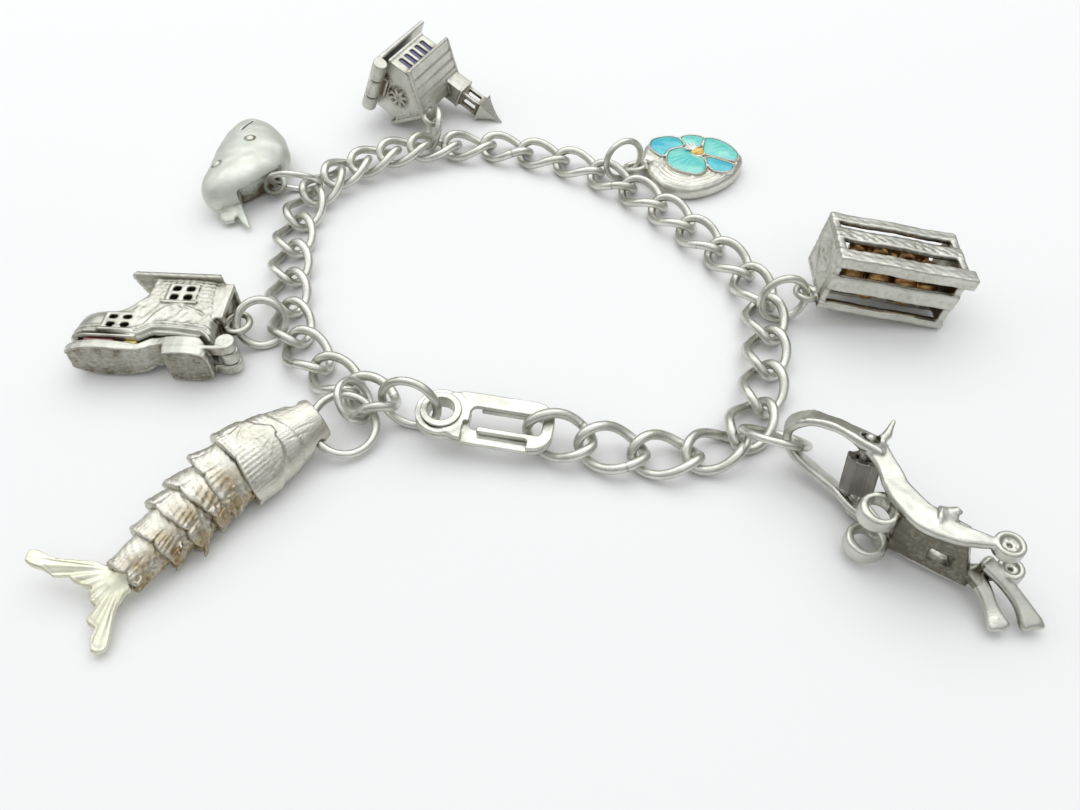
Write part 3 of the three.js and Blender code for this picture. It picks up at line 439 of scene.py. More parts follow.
def make(name, points, faces, material, body, nodes, hollow=None):
    """A smooth mesh object that rides on a body and stands for its nodes."""
    mesh = bpy.data.meshes.new(name)
    faces = np.asarray(faces)
    points = np.array(points, float)
    points[:, 2] = np.maximum(points[:, 2], TABLE_GAP)
    mesh.vertices.add(len(points))
    mesh.vertices.foreach_set("co", points.astype(np.float32).ravel())
    mesh.loops.add(faces.size)
    mesh.loops.foreach_set("vertex_index", faces.ravel().astype(np.int32))
    mesh.polygons.add(len(faces))
    mesh.polygons.foreach_set("loop_start", np.arange(0, faces.size, faces.shape[1], dtype=np.int32))
    mesh.polygons.foreach_set("use_smooth", np.ones(len(faces), bool))
    # this darkening is tarnish in hollows, with painted shade added for the wires and for some pieces
    if hollow is not None:
        layer = mesh.attributes.new("hollow", "FLOAT", "POINT")
        layer.data.foreach_set("value", np.asarray(hollow, np.float32))
    mesh.update()
    mesh.validate()
    mesh.materials.append(material)
    obj = bpy.data.objects.new(name, mesh)
    bpy.context.scene.collection.objects.link(obj)
    if nodes:
        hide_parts(*nodes)
    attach(obj, body)
    return obj


# Camera, floor and light
camera = bpy.data.objects.new("camera", bpy.data.cameras.new("camera"))
camera.data.lens = LENS
camera.data.sensor_width = SENSOR
camera.data.clip_start = NEAR_CLIP
camera.location = Vector((SHIFT + np.array(CAMERA_PLACE)) * MM)
towards = Vector(SHIFT * MM) - camera.location
camera.rotation_euler = towards.to_track_quat("-Z", "Y").to_euler()
bpy.context.scene.collection.objects.link(camera)
bpy.context.scene.camera = camera


def floor():
    mesh = bpy.data.meshes.new("floor")
    corners = [(x * FLOOR_HALF, y * FLOOR_HALF, -FLOOR_DROP) for x, y in ((-1, -1), (1, -1), (1, 1), (-1, 1))]
    mesh.from_pydata(corners, [], [(0, 1, 2, 3)])
    material = bpy.data.materials.new("floor_white")
    material.use_nodes = True
    shader = material.node_tree.nodes["Principled BSDF"]
    shader.inputs["Base Color"].default_value = (FLOOR_GREY, FLOOR_GREY, FLOOR_GREY, 1)
    shader.inputs["Roughness"].default_value = FLOOR_ROUGH
    shader.inputs["Specular IOR Level"].default_value = FLOOR_SHINE
    mesh.materials.append(material)
    obj = bpy.data.objects.new("floor", mesh)
    bpy.context.scene.collection.objects.link(obj)


def lamp(name, place, size, watts, colour):
    """A soft box that points at the row frame's origin."""
    light = bpy.data.lights.new(name, "AREA")
    light.shape = "RECTANGLE"
    light.size, light.size_y = size
    light.energy = watts
    light.color = colour
    obj = bpy.data.objects.new(name, light)
    obj.location = place
    obj.rotation_euler = (-Vector(place)).to_track_quat("-Z", "Y").to_euler()
    bpy.context.scene.collection.objects.link(obj)


floor()
for row in LAMPS:
    lamp(*row)


def studio():
    """A tent that is bright overhead and dim towards the horizon."""
    world = bpy.data.worlds.new("studio")
    world.use_nodes = True
    tree = world.node_tree
    ground = tree.nodes["Background"]
    place = tree.nodes.new("ShaderNodeTexCoord")
    split = tree.nodes.new("ShaderNodeSeparateXYZ")
    ramp = tree.nodes.new("ShaderNodeValToRGB")
    tones = ((HORIZON, HORIZON_COLOUR), (OVERHEAD, OVERHEAD_COLOUR))
    for element, (height, colour) in zip(ramp.color_ramp.elements, tones):
        element.position, element.color = height, colour
    tree.links.new(place.outputs["Generated"], split.inputs[0])
    tree.links.new(split.outputs["Z"], ramp.inputs["Fac"])
    tree.links.new(ramp.outputs["Color"], ground.inputs["Color"])
    ground.inputs["Strength"].default_value = TENT_STRENGTH
    bpy.context.scene.world = world


studio()
bpy.context.scene.view_settings.view_transform = "Standard"


# Materials
class Nodes:
    def __init__(self, name):
        self.material = bpy.data.materials.new(name)
        self.material.use_nodes = True
        self.tree = self.material.node_tree
        self.shader = self.tree.nodes["Principled BSDF"]
        self.coordinates = self.tree.nodes.new("ShaderNodeTexCoord").outputs["Object"]

    def link(self, a, b):
        self.tree.links.new(a, b)

    def noise(self, scale, detail=3.0, stretch=None):
        node = self.tree.nodes.new("ShaderNodeTexNoise")
        node.inputs["Scale"].default_value = scale
        node.inputs["Detail"].default_value = detail
        source = self.coordinates
        if stretch:
            mapping = self.tree.nodes.new("ShaderNodeMapping")
            mapping.inputs["Scale"].default_value = stretch
            self.link(source, mapping.inputs["Vector"])
            source = mapping.outputs["Vector"]
        self.link(source, node.inputs["Vector"])
        return node.outputs["Fac"]

    def range(self, value, low, high, to_low, to_high):
        node = self.tree.nodes.new("ShaderNodeMapRange")
        for name, number in zip(("From Min", "From Max", "To Min", "To Max"), (low, high, to_low, to_high)):
            node.inputs[name].default_value = number
        self.link(value, node.inputs["Value"])
        return node.outputs["Result"]

    def math(self, kind, a, b):
        node = self.tree.nodes.new("ShaderNodeMath")
        node.operation = kind
        for socket, value in zip(node.inputs, (a, b)):
            if isinstance(value, (int, float)):
                socket.default_value = value
            else:
                self.link(value, socket)
        return node.outputs["Value"]

    def mix(self, share, a, b):
        node = self.tree.nodes.new("ShaderNodeMix")
        node.data_type = "RGBA"
        self.link(share, node.inputs["Factor"])
        sockets = [s for s in node.inputs if s.type == "RGBA"]
        for socket, value in zip(sockets, (a, b)):
            if isinstance(value, tuple):
                socket.default_value = (*value, 1)
            else:
                self.link(value, socket)
        return [s for s in node.outputs if s.type == "RGBA"][0]

    def bump(self, height, strength, distance):
        node = self.tree.nodes.new("ShaderNodeBump")
        node.inputs["Strength"].default_value = strength
        node.inputs["Distance"].default_value = distance
        self.link(height, node.inputs["Height"])
        self.link(node.outputs["Normal"], self.shader.inputs["Normal"])

    def attribute(self, name):
        node = self.tree.nodes.new("ShaderNodeAttribute")
        node.attribute_name = name
        return node.outputs["Fac"]


def silver(name, light=(0.66, 0.66, 0.60), dull=(0.54, 0.54, 0.475), tarnish_and_painted_shade=(0.17, 0.14, 0.09),
           rough=(0.30, 0.46), tarnish_and_shade_from=0.22, tarnish_and_shade_to=0.75, grain=0.35, metallic=1.0):
    """Satin cast silver: lighter and darker patches, fine scratches, dark in its corners from tarnish, and
    darker still with painted shade where a piece adds it.
    """
    n = Nodes(name)
    n.shader.inputs["Metallic"].default_value = metallic
    patches = n.range(n.noise(420, 4), 0.35, 0.65, 0, 1)
    colour = n.mix(patches, light, dull)
    fine = n.noise(2600, 3)
    # the hollow attribute holds the tarnish in hollows plus the painted shade that links, rings and some
    # pieces add; both darken towards the same colour
    deep = n.math("ADD", n.attribute("hollow"), n.range(fine, 0.3, 0.7, -0.12, 0.12))
    deep = n.range(deep, tarnish_and_shade_from, tarnish_and_shade_to, 0, 1)
    colour = n.mix(deep, colour, tarnish_and_painted_shade)
    n.link(colour, n.shader.inputs["Base Color"])
    n.link(n.range(n.noise(1500, 5), 0.3, 0.7, *rough), n.shader.inputs["Roughness"])
    scratches = n.noise(1800, 2, stretch=(1, 6, 2))
    height = n.math("ADD", n.math("MULTIPLY", scratches, 0.6), n.noise(5200, 3))
    n.bump(height, grain, 0.00005)
    return n.material


SATIN = silver("satin_silver", rough=(0.26, 0.44), grain=0.42, light=(0.72, 0.72, 0.66),
               dull=(0.56, 0.56, 0.50))
CAST = silver("cast_silver_relief", tarnish_and_shade_from=0.2, tarnish_and_shade_to=0.75, grain=0.6, rough=(0.34, 0.50))
SHELL = silver("satin_shell", light=(0.72, 0.75, 0.69), dull=(0.64, 0.66, 0.59), rough=(0.50, 0.62),
               grain=0.22, tarnish_and_painted_shade=(0.15, 0.12, 0.07), tarnish_and_shade_from=0.2, tarnish_and_shade_to=0.95, metallic=0.9)
DARK = silver("oxidised_silver", light=(0.30, 0.29, 0.26), dull=(0.20, 0.19, 0.17), rough=(0.36, 0.52))


def enamel(name, colour, second, rough=0.12):
    """Glassy enamel with slow changes of colour."""
    n = Nodes(name)
    n.link(n.mix(n.range(n.noise(500, 3), 0.35, 0.65, 0, 1), colour, second), n.shader.inputs["Base Color"])
    n.link(n.range(n.noise(1400, 3), 0.3, 0.7, rough * 0.6, rough * 1.5), n.shader.inputs["Roughness"])
    n.shader.inputs["Coat Weight"].default_value = 0.6
    n.bump(n.noise(900, 2), 0.08, 0.00004)
    return n.material


ENAMEL_NAVY = enamel("enamel_navy", (0.012, 0.014, 0.10), (0.02, 0.02, 0.16))
ENAMEL_RED = enamel("enamel_red", (0.16, 0.012, 0.02), (0.24, 0.02, 0.03))
ENAMEL_YELLOW = enamel("enamel_yellow", (0.62, 0.44, 0.06), (0.72, 0.56, 0.14))
BOOT_SILVER = silver("satin_boot", light=(0.64, 0.64, 0.57), dull=(0.50, 0.50, 0.43), rough=(0.34, 0.50),
                     grain=0.35, tarnish_and_shade_from=0.14, tarnish_and_shade_to=0.75)
FISH_SILVER = silver("scaled_silver", light=(0.70, 0.69, 0.62), dull=(0.58, 0.56, 0.48),
                     tarnish_and_painted_shade=(0.35, 0.27, 0.15), tarnish_and_shade_from=0.3, tarnish_and_shade_to=0.95, grain=0.7)
CRATE_SILVER = silver("crate_silver", tarnish_and_shade_from=0.2, tarnish_and_shade_to=0.75, grain=0.4)
BARROW_SILVER = silver("barrow_silver", tarnish_and_painted_shade=(0.17, 0.16, 0.12), tarnish_and_shade_from=0.18, tarnish_and_shade_to=0.8,
                       grain=0.4)
HEART_SILVER = silver("heart_silver_rim", light=(0.70, 0.70, 0.63), dull=(0.60, 0.59, 0.52),
                      tarnish_and_painted_shade=(0.46, 0.40, 0.32), tarnish_and_shade_from=0.3, tarnish_and_shade_to=1.0, grain=0.35)
PALE = silver("pale_silver", light=(0.78, 0.78, 0.66), dull=(0.72, 0.70, 0.55), tarnish_and_painted_shade=(0.60, 0.55, 0.34),
              tarnish_and_shade_from=0.2, tarnish_and_shade_to=0.8, rough=(0.40, 0.55), grain=0.3)
COPPER = silver("copper_gilt", light=(0.66, 0.44, 0.17), dull=(0.40, 0.20, 0.08), tarnish_and_painted_shade=(0.06, 0.025, 0.01),
                tarnish_and_shade_from=0.15, tarnish_and_shade_to=0.75, rough=(0.25, 0.42))
TURQUOISE = enamel("enamel_turquoise", (0.03, 0.46, 0.60), (0.08, 0.58, 0.60), rough=0.2)
MINT = enamel("enamel_mint", (0.08, 0.58, 0.54), (0.24, 0.70, 0.60), rough=0.2)
ORANGE = enamel("enamel_orange", (0.85, 0.42, 0.05), (0.92, 0.60, 0.14))
STAMEN_WHITE = enamel("enamel_white", (0.80, 0.82, 0.80), (0.86, 0.86, 0.80), rough=0.25)


# Wire
def sweep(centres, radius, sides):
    """A closed tube of wire along a closed path."""
    centres = np.asarray(centres)
    count = len(centres)
    along = np.roll(centres, -1, 0) - np.roll(centres, 1, 0)
    along /= np.linalg.norm(along, axis=1)[:, None]
    middle = centres.mean(0)
    outward = centres - middle
    outward -= along * (outward * along).sum(1)[:, None]
    outward /= np.linalg.norm(outward, axis=1)[:, None]
    across = np.cross(along, outward)
    angle = np.arange(sides) / sides * 2 * math.pi
    radius = np.ones(count) * radius
    points = (centres[:, None] + radius[:, None, None] * (
        np.cos(angle)[None, :, None] * outward[:, None] + np.sin(angle)[None, :, None] * across[:, None]))
    i, k = np.meshgrid(np.arange(count), np.arange(sides), indexing="ij")
    j, m = (i + 1) % count, (k + 1) % sides
    faces = np.stack([i * sides + k, j * sides + k, j * sides + m, i * sides + m], -1).reshape(-1, 4)
    return points.reshape(-1, 3), faces


def node_frame(node):
    """The middle of a wire node and its axes, the longest first, in millimetres of the row frame."""
    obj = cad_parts[node]
    points = np.array([obj.matrix_world @ v.co for v in obj.data.vertices]) / MM
    middle = points.mean(0)
    _, vectors = np.linalg.eigh(np.cov((points - middle).T))
    x, y = vectors[:, 2], vectors[:, 1]
    return middle, np.stack([x, y, np.cross(x, y)], 1)


LINK_COUNT, LINK_LENGTH, LINK_WIDTH, LINK_WIRE, LINK_TWIST = 31, 7.8, 5.4, 1.04, 45
WIRE_STEPS, WIRE_SIDES = 72, 14
# the seam darkens the wire's joint; the last of these darkens the under side of each wire as painted shade
SEAM_DEPTH, SEAM_WIDTH, SEAM_DARK, UNDER_PAINTED_SHADE = 0.07, 0.035, 0.55, 0.42


def wire_angle():
    return np.arange(WIRE_STEPS) / WIRE_STEPS * 2 * math.pi


def link_path(angle):
    long, wide = (LINK_LENGTH - LINK_WIRE) / 2, (LINK_WIDTH - LINK_WIRE) / 2
    x, y = long * np.cos(angle), wide * np.sin(angle)
    twist = np.radians(-LINK_TWIST * x / long)
    return np.stack([x, y * np.cos(twist), y * np.sin(twist)], 1)


def seam(angle, at):
    """The fine butt joint of a closed wire."""
    away = np.abs((angle - at + math.pi) % (2 * math.pi) - math.pi)
    return 1 - SEAM_DEPTH * bell(away, SEAM_WIDTH)


def wire_piece(node, path, wire, at, seed):
    """The wire of a closed link or ring, a little uneven, with its joint at the angle."""
    angle = wire_angle()
    middle, axes = node_frame(node)
    random = np.random.default_rng(seed)
    wobble = sum(random.normal(0, 0.012) * np.cos(k * angle + random.uniform(0, 6.28)) for k in (1, 2, 3, 5))
    radius = wire / 2 * (1 + wobble) * seam(angle, at)
    points, faces = sweep(path, radius, WIRE_SIDES)
    groove = np.repeat((1 - seam(angle, at)) / SEAM_DEPTH, WIRE_SIDES)
    outward = ((points - np.repeat(path, WIRE_SIDES, 0)) @ axes.T)[:, 2] / (wire / 2)
    # painted shade: the under side of the wire is darkened
    under = UNDER_PAINTED_SHADE * unit(0.1 - outward)
    make(f"{node}_wire", (points @ axes.T + middle) * MM, faces, SATIN, ROOT, (node,),
         SEAM_DARK * groove + under)


for index in range(1, LINK_COUNT + 1):
    wire_piece(f"link_{index:02d}", link_path(wire_angle()), LINK_WIRE, 2.1 * index, index)

# Columns: node, outer diameter, wire
RINGS = [
    ("clasp_ring", 6.8, 0.9), ("ring_fish_chain", 5.2, 0.8), ("ring_fish_mouth", 7.2, 0.85),
    ("ring_church", 6.2, 0.9), ("ring_whale", 7.0, 0.8), ("ring_boot", 6.0, 0.9), ("ring_heart", 6.0, 0.8),
    ("ring_crate", 6.2, 0.9), ("ring_barrow", 7.4, 0.8),
]
for index, (node, diameter, wire) in enumerate(RINGS):
    angle, radius = wire_angle(), (diameter - wire) / 2
    path = np.stack([radius * np.cos(angle), radius * np.sin(angle), 0 * angle], 1)
    wire_piece(node, path, wire, 1.0 + index, 100 + index)


# The clasp
CLASP = Frame((-9.9, -3.72, 2.4), (5.9, 2.6, -9.5))
HOOK_THICK, HOOK_HALF, HOOK_REACH, EYE = 0.55, 2.85, 11.4, 2.65
HOOK_SLOT = (3.0, 10.25, 1.15, 0.55)
RIVET, RIVET_BORE, RIVET_FLANGE = 1.7, 1.35, 2.1


def rounded_box_outline(x0, x1, half, corner, steps=6):
    points = []
    for cx, cy, start in ((x1 - corner, -half + corner, -90), (x1 - corner, half - corner, 0),
                          (x0 + corner, half - corner, 90), (x0 + corner, -half + corner, 180)):
        for k in range(steps + 1):
            a = math.radians(start + 90 * k / steps)
            points.append((cx + corner * math.cos(a), cy + corner * math.sin(a)))
    return points


def hook(name, node, side, bottom, bore):
    top = bottom + HOOK_THICK
    piece = Cast((-4, -4, -0.4), (12, 4, 2.0), GRID["clasp"])
    piece.add(prism(rounded_box_outline(0.2, HOOK_REACH, HOOK_HALF, 2.1), bottom, top, 0.14))
    piece.add(drum((0, 0, bottom), (0, 0, top), EYE, 0.14), 0.5)
    piece.cut(prism(rounded_box_outline(*HOOK_SLOT), bottom - 1, top + 1, 0.0), 0.12)
    piece.cut(slab(2.46, 3.9, side * 0.7, side * 4, -1, 3, 0.2), 0.1)
    piece.cut(slab(3.8, 9.0, side * 1.75, side * 4, -1, 3, 0.3), 0.12)
    if bore:
        piece.cut(drum((0, 0, -1), (0, 0, 3), bore, 0), 0.08)
    else:
        piece.add(drum((0, 0, -0.2), (0, 0, 1.6), RIVET, 0.1, bore=RIVET_BORE))
        piece.add(drum((0, 0, -0.2), (0, 0, 0.05), RIVET_FLANGE, 0.1, bore=RIVET_BORE))
        piece.add(drum((0, 0, 1.4), (0, 0, 1.6), RIVET_FLANGE, 0.09, bore=RIVET_BORE), 0.15)
        piece.cut(drum((0, 0, -1), (0, 0, 3), RIVET_BORE, 0))
    # two rolled grooves along the arms
    for y in (1.95, 2.45):
        piece.relief(lambda x, v, z, y=y: -0.03 * bell(abs(v) - y, 0.07) * (x > 3.4) * (x < 9.6) + 0 * z,
                     (3.4, -3, top - 0.2), (9.6, 3, top + 0.3))
    piece.piece(name, CLASP, SATIN, nodes=(node,))


hook("clasp_hook_lower_plate", "clasp_hook_lower", 1, 0.0, 0)
hook("clasp_hook_upper_plate", "clasp_hook_upper", -1, 0.7, 1.9)


# The church
def hung(eye, place, turn):
    where = Frame((0, 0, 0), turn)
    where.place = np.array(place, float) - where.matrix @ np.array(eye, float)
    return where


CHURCH = hung((0.3, 0, 8.5), (-15.099, 50.542, 2.965), (114.9, -2.2, 61.8))
CHURCH_LONG, CHURCH_HALF, EAVES, RIDGE = 8.15, 4.15, 3.9, 7.3
ROOF_OVERHANG, ROOF_THICK, PLANKS = 0.75, 0.5, 5
SLOTS, SLOT_FIRST, SLOT_PITCH, SLOT_LOW, SLOT_HIGH = 5, 1.35, 1.28, 1.05, 3.15
TOWER_HALF, TOWER_TOP, BELFRY_HALF, BELFRY_TOP, SPIRE_TOP = 1.45, 9.2, 1.073, 12.4, 16.0
BARREL, KNUCKLE, PIN = (-1.15, -0.35), 1.0, 0.3
CHURCH_LEAF = "church_base_leaf"


def gable_outline(half, eaves, ridge, low=0.0):
    return [(-half, low), (half, low), (half, eaves), (0, ridge), (-half, eaves)]


def grain(seed, depth, along, across, axis=0):
    """Fine uneven tool lines along one axis."""
    random = np.random.default_rng(seed)
    waves = [(random.uniform(0.6, 1.4) * across, random.uniform(0, 6.28), random.uniform(0.3, 1) * along,
              random.uniform(0, 6.28)) for _ in range(5)]

    def height(x, y, z):
        run = (x, y, z)[axis]
        side = (y + 0.7 * z, x + 0.7 * z, x + 0.7 * y)[axis]
        total = sum(np.sin(side * a + b + 1.5 * np.sin(run * c + d)) for a, b, c, d in waves)
        return depth * total / 3

    return height


def church():
    body = Cast((-2.4, -5.2, -1.6), (9.8, 5.2, 16.4), GRID["church"])
    body.add(prism(gable_outline(CHURCH_HALF, EAVES, RIDGE), 0, CHURCH_LONG, 0.12, "x"))
    slope = (RIDGE - EAVES) / CHURCH_HALF
    reach, planks, thick = CHURCH_HALF + ROOF_OVERHANG, PLANKS, ROOF_THICK
    angle = math.degrees(math.atan(slope))
    for side in (-1, 1):
        for plank in range(planks):
            outer, inner = reach * (1 - plank / planks), reach * (1 - (plank + 1) / planks) - 0.15
            low = RIDGE + thick - outer * slope
            section = [(side * outer, low - thick - 0.05), (side * outer, low + 0.02),
                       (side * max(inner, 0), RIDGE + thick - 0.17 - max(inner, 0) * slope),
                       (side * max(inner, 0), RIDGE - 0.2 - max(inner, 0) * slope)]
            body.add(prism(section, -0.25, CHURCH_LONG + 1.05, 0.07, "x"))
        # the barge boards, a raised edge down each end of the roof
        for x in (-0.42, CHURCH_LONG + 0.85):
            edge = [(side * (reach + 0.1), RIDGE - reach * slope - 0.12),
                    (side * (reach + 0.1), RIDGE + thick - reach * slope + 0.1), (0, RIDGE + thick + 0.1),
                    (0, RIDGE - 0.12)]
            body.add(prism(edge, x, x + 0.42, 0.1, "x"))
    body.relief(grain(3, 0.02, 0.8, 9, 0), (-0.4, -5.0, 3.4), (9.3, 5.0, 8.0))
    # the eaves end in a rolled edge
    for side in (-1, 1):
        y, z = side * (reach - 0.02), RIDGE - reach * slope + 0.2
        body.add(pill((-0.3, y, z), (CHURCH_LONG + 1.15, y, z), 0.3), 0.1)
    body.cut(prism(gable_outline(CHURCH_HALF - 0.6, EAVES - 0.3, RIDGE - 1.1, -1), 0.6, CHURCH_LONG - 0.6,
                   0.1, "x"))
    # the side walls: five slots over a low plinth
    for side in (-1, 1):
        for slot in range(SLOTS):
            x = SLOT_FIRST + slot * SLOT_PITCH
            body.cut(slab(x - 0.06, x + 0.6, side * 3, side * 5, SLOT_LOW, SLOT_HIGH, 0.08), 0.08)
        body.add(slab(0, CHURCH_LONG, side * 4.0, side * 4.25, 0.0, 0.45, 0.08), 0.05)
    body.relief(grain(5, 0.012, 2.0, 5, 2), (-0.2, -4.4, 0), (CHURCH_LONG + 0.2, 4.4, 4.0))
    # the rosette on the gable: a hub, eight leaves and a beaded ring
    centre = np.array([-0.04, -0.3, 3.1])
    for k in range(8):
        a = 2 * math.pi * k / 8 + 0.2
        tip = centre + 1.15 * np.array([0, math.cos(a), math.sin(a)])
        root = centre + 0.35 * np.array([0, math.cos(a), math.sin(a)])
        body.add(pill(root, tip, 0.2, 0.34), 0.04)
    body.add(ball(centre, (0.4, 0.3, 0.3)), 0.04)
    for k in range(16):
        a = 2 * math.pi * (k + 0.5) / 16
        body.add(ball(centre + np.array([0.0, 1.5 * math.cos(a), 1.5 * math.sin(a)]), 0.16), 0.06)
    # a row of moulding under the gable's slopes
    for side in (-1, 1):
        body.add(pill((-0.05, side * 4.0, EAVES - 0.15), (-0.05, 0, RIDGE - 0.3), 0.14), 0.08)
    # hinge leaf and middle knuckle
    bx, bz = BARREL
    body.add(drum((bx, -1.7, bz), (bx, 1.2, bz), KNUCKLE, 0.12))
    body.add(block((bx + 0.7, -1.7, 0.1), (0.3, 1.2, 1.2), 0.15), 0.15)
    # tower, belfry and spire
    tower_x, half = CHURCH_LONG + 1.05 - TOWER_HALF, TOWER_HALF
    body.add(block((tower_x - half, -half, RIDGE - 3.0), (tower_x + half, half, TOWER_TOP), 0.1), 0.15)
    body.add(block((tower_x - half - 0.12, -half - 0.12, 8.95), (tower_x + half + 0.12, half + 0.12, 9.3),
                   0.12), 0.05)
    wide = BELFRY_HALF
    for dx in (-1, 1):
        for dy in (-1, 1):
            post_x, post_y = tower_x + dx * 0.8, dy * 0.8
            body.add(block((post_x - 0.28, post_y - 0.28, 9.1), (post_x + 0.28, post_y + 0.28, 12.5), 0.09),
                     0.06)
    body.add(block((tower_x - wide, -wide, 11.75), (tower_x + wide, wide, 12.45), 0.08), 0.12)
    body.add(block((tower_x - wide, -wide, 9.1), (tower_x + wide, wide, 9.65), 0.08), 0.12)
    body.add(block((tower_x - 0.3, -0.3, 9.1), (tower_x + 0.3, 0.3, 12.4), 0.1))

    def spire(x, y, z):
        t = np.clip((z - BELFRY_TOP) / (SPIRE_TOP - BELFRY_TOP), -0.2, 1)
        width = 0.1 + 1.35 * (1 - t) ** 1.45 + 0.12 * bell(t, 0.08)
        side = np.maximum(abs(x - tower_x), abs(y)) - width
        return np.maximum(side * 0.86, np.maximum(BELFRY_TOP - 0.02 - z, z - SPIRE_TOP))

    body.add(Shape(spire, (tower_x - 1.6, -1.6, 12.3), (tower_x + 1.6, 1.6, 16.05)), 0.05)
    body.cut(drum((bx, -3, bz), (bx, 3, bz), 0.5, 0))
    body.add(hoop((0.3, 0, RIDGE + 1.2), 1.125, 0.78, (90, 0, 0)), 0.25)
    # painted shade: faces turned to -x and to +y, and the band round the open belfry, are darkened
    body.piece("church_house", CHURCH, CAST, nodes=("church_body",), painted_shade_and_tone=lambda x, y, z, n:
               0.14 * (n[:, 0] < -0.5) + 0.25 * ((z > 9.2) & (z < 12.4) & (abs(y) < 1.0))
               + 0.2 * (n[:, 1] > 0.6))

    # dark blue enamel behind the slots
    for side, name in ((-1, "church_enamel_front"), (1, "church_enamel_back")):
        pane = Cast((1.0, min(side * 3.6, side * 4.0), 0.8), (7.4, max(side * 3.6, side * 4.0), 3.4),
                    GRID["pane"])
        pane.add(slab(1.1, 7.3, side * 3.62, side * 3.96, 0.85, 3.3, 0.1))
        pane.piece(name, CHURCH, ENAMEL_NAVY, slot="cast_silver")

    base = Cast((-2.4, -4.4, -1.6), (11.0, 4.4, 0.9), GRID["plate"])
    for start, end in ((-4.1, -1.9), (1.4, 4.1)):
        base.add(drum((bx, start, bz), (bx, end, bz), KNUCKLE, 0.14))
        for r in (0.38, 0.7):
            for y in (start, end):
                base.cut(hoop((bx, y, bz), r, 0.1, (90, 0, 0)))
        base.add(block((bx, start, bz - 1.0), (bx + 2.4, end, bz - 0.3), 0.2), 0.2)
    base.add(drum((bx, -2, bz), (bx, 2, bz), PIN, 0))
    base.add(block((bx + 1.2, -CHURCH_HALF, bz - 1.0), (bx + 11.6, CHURCH_HALF, bz - 0.3), 0.3), 0.1)
    base.relief(grain(9, 0.015, 0.7, 4, 0), (0.2, -4.2, -1.6), (10.6, 4.2, 0))
    base.piece("church_base_plate", CHURCH, CAST, body=CHURCH_LEAF, nodes=("church_base",))


church()


def soft_columns(table, count, reach):
    """A table's rows, spaced evenly and with soft changes from row to row."""
    table = np.asarray(table, float)
    fine = np.linspace(table[0, 0], table[-1, 0], count)
    kernel = np.exp(-np.linspace(-2, 2, 2 * reach + 1) ** 2)
    kernel /= kernel.sum()
    columns = []
    for k in range(1, table.shape[1]):
        row = np.interp(fine, table[:, 0], table[:, k])
        columns.append(np.convolve(np.pad(row, reach, mode="edge"), kernel, "valid"))
    return fine, columns


def slopes(x, table):
    """The value of a table's second column at x, with soft changes from row to row."""
    fine, columns = soft_columns(table, 200, 7)
    return np.interp(x, fine, columns[0])


# The whale
WHALE_ROWS = np.array([
    # along the table, middle across, middle height, half width, half height
    [31.1, -40.9, 2.6, 0.0, 0.0], [31.5, -40.8, 2.7, 1.5, 1.6], [32.2, -40.4, 2.8, 2.3, 2.2],
    [33.7, -39.7, 2.95, 3.4, 2.75], [37.0, -38.3, 3.0, 4.7, 2.97], [41.0, -38.0, 3.05, 4.9, 3.0],
    [44.3, -38.4, 3.05, 4.1, 2.75], [47.0, -39.0, 3.0, 2.6, 2.0], [48.1, -39.3, 3.0, 1.4, 1.2],
    [48.5, -39.4, 3.0, 0.0, 0.0]])


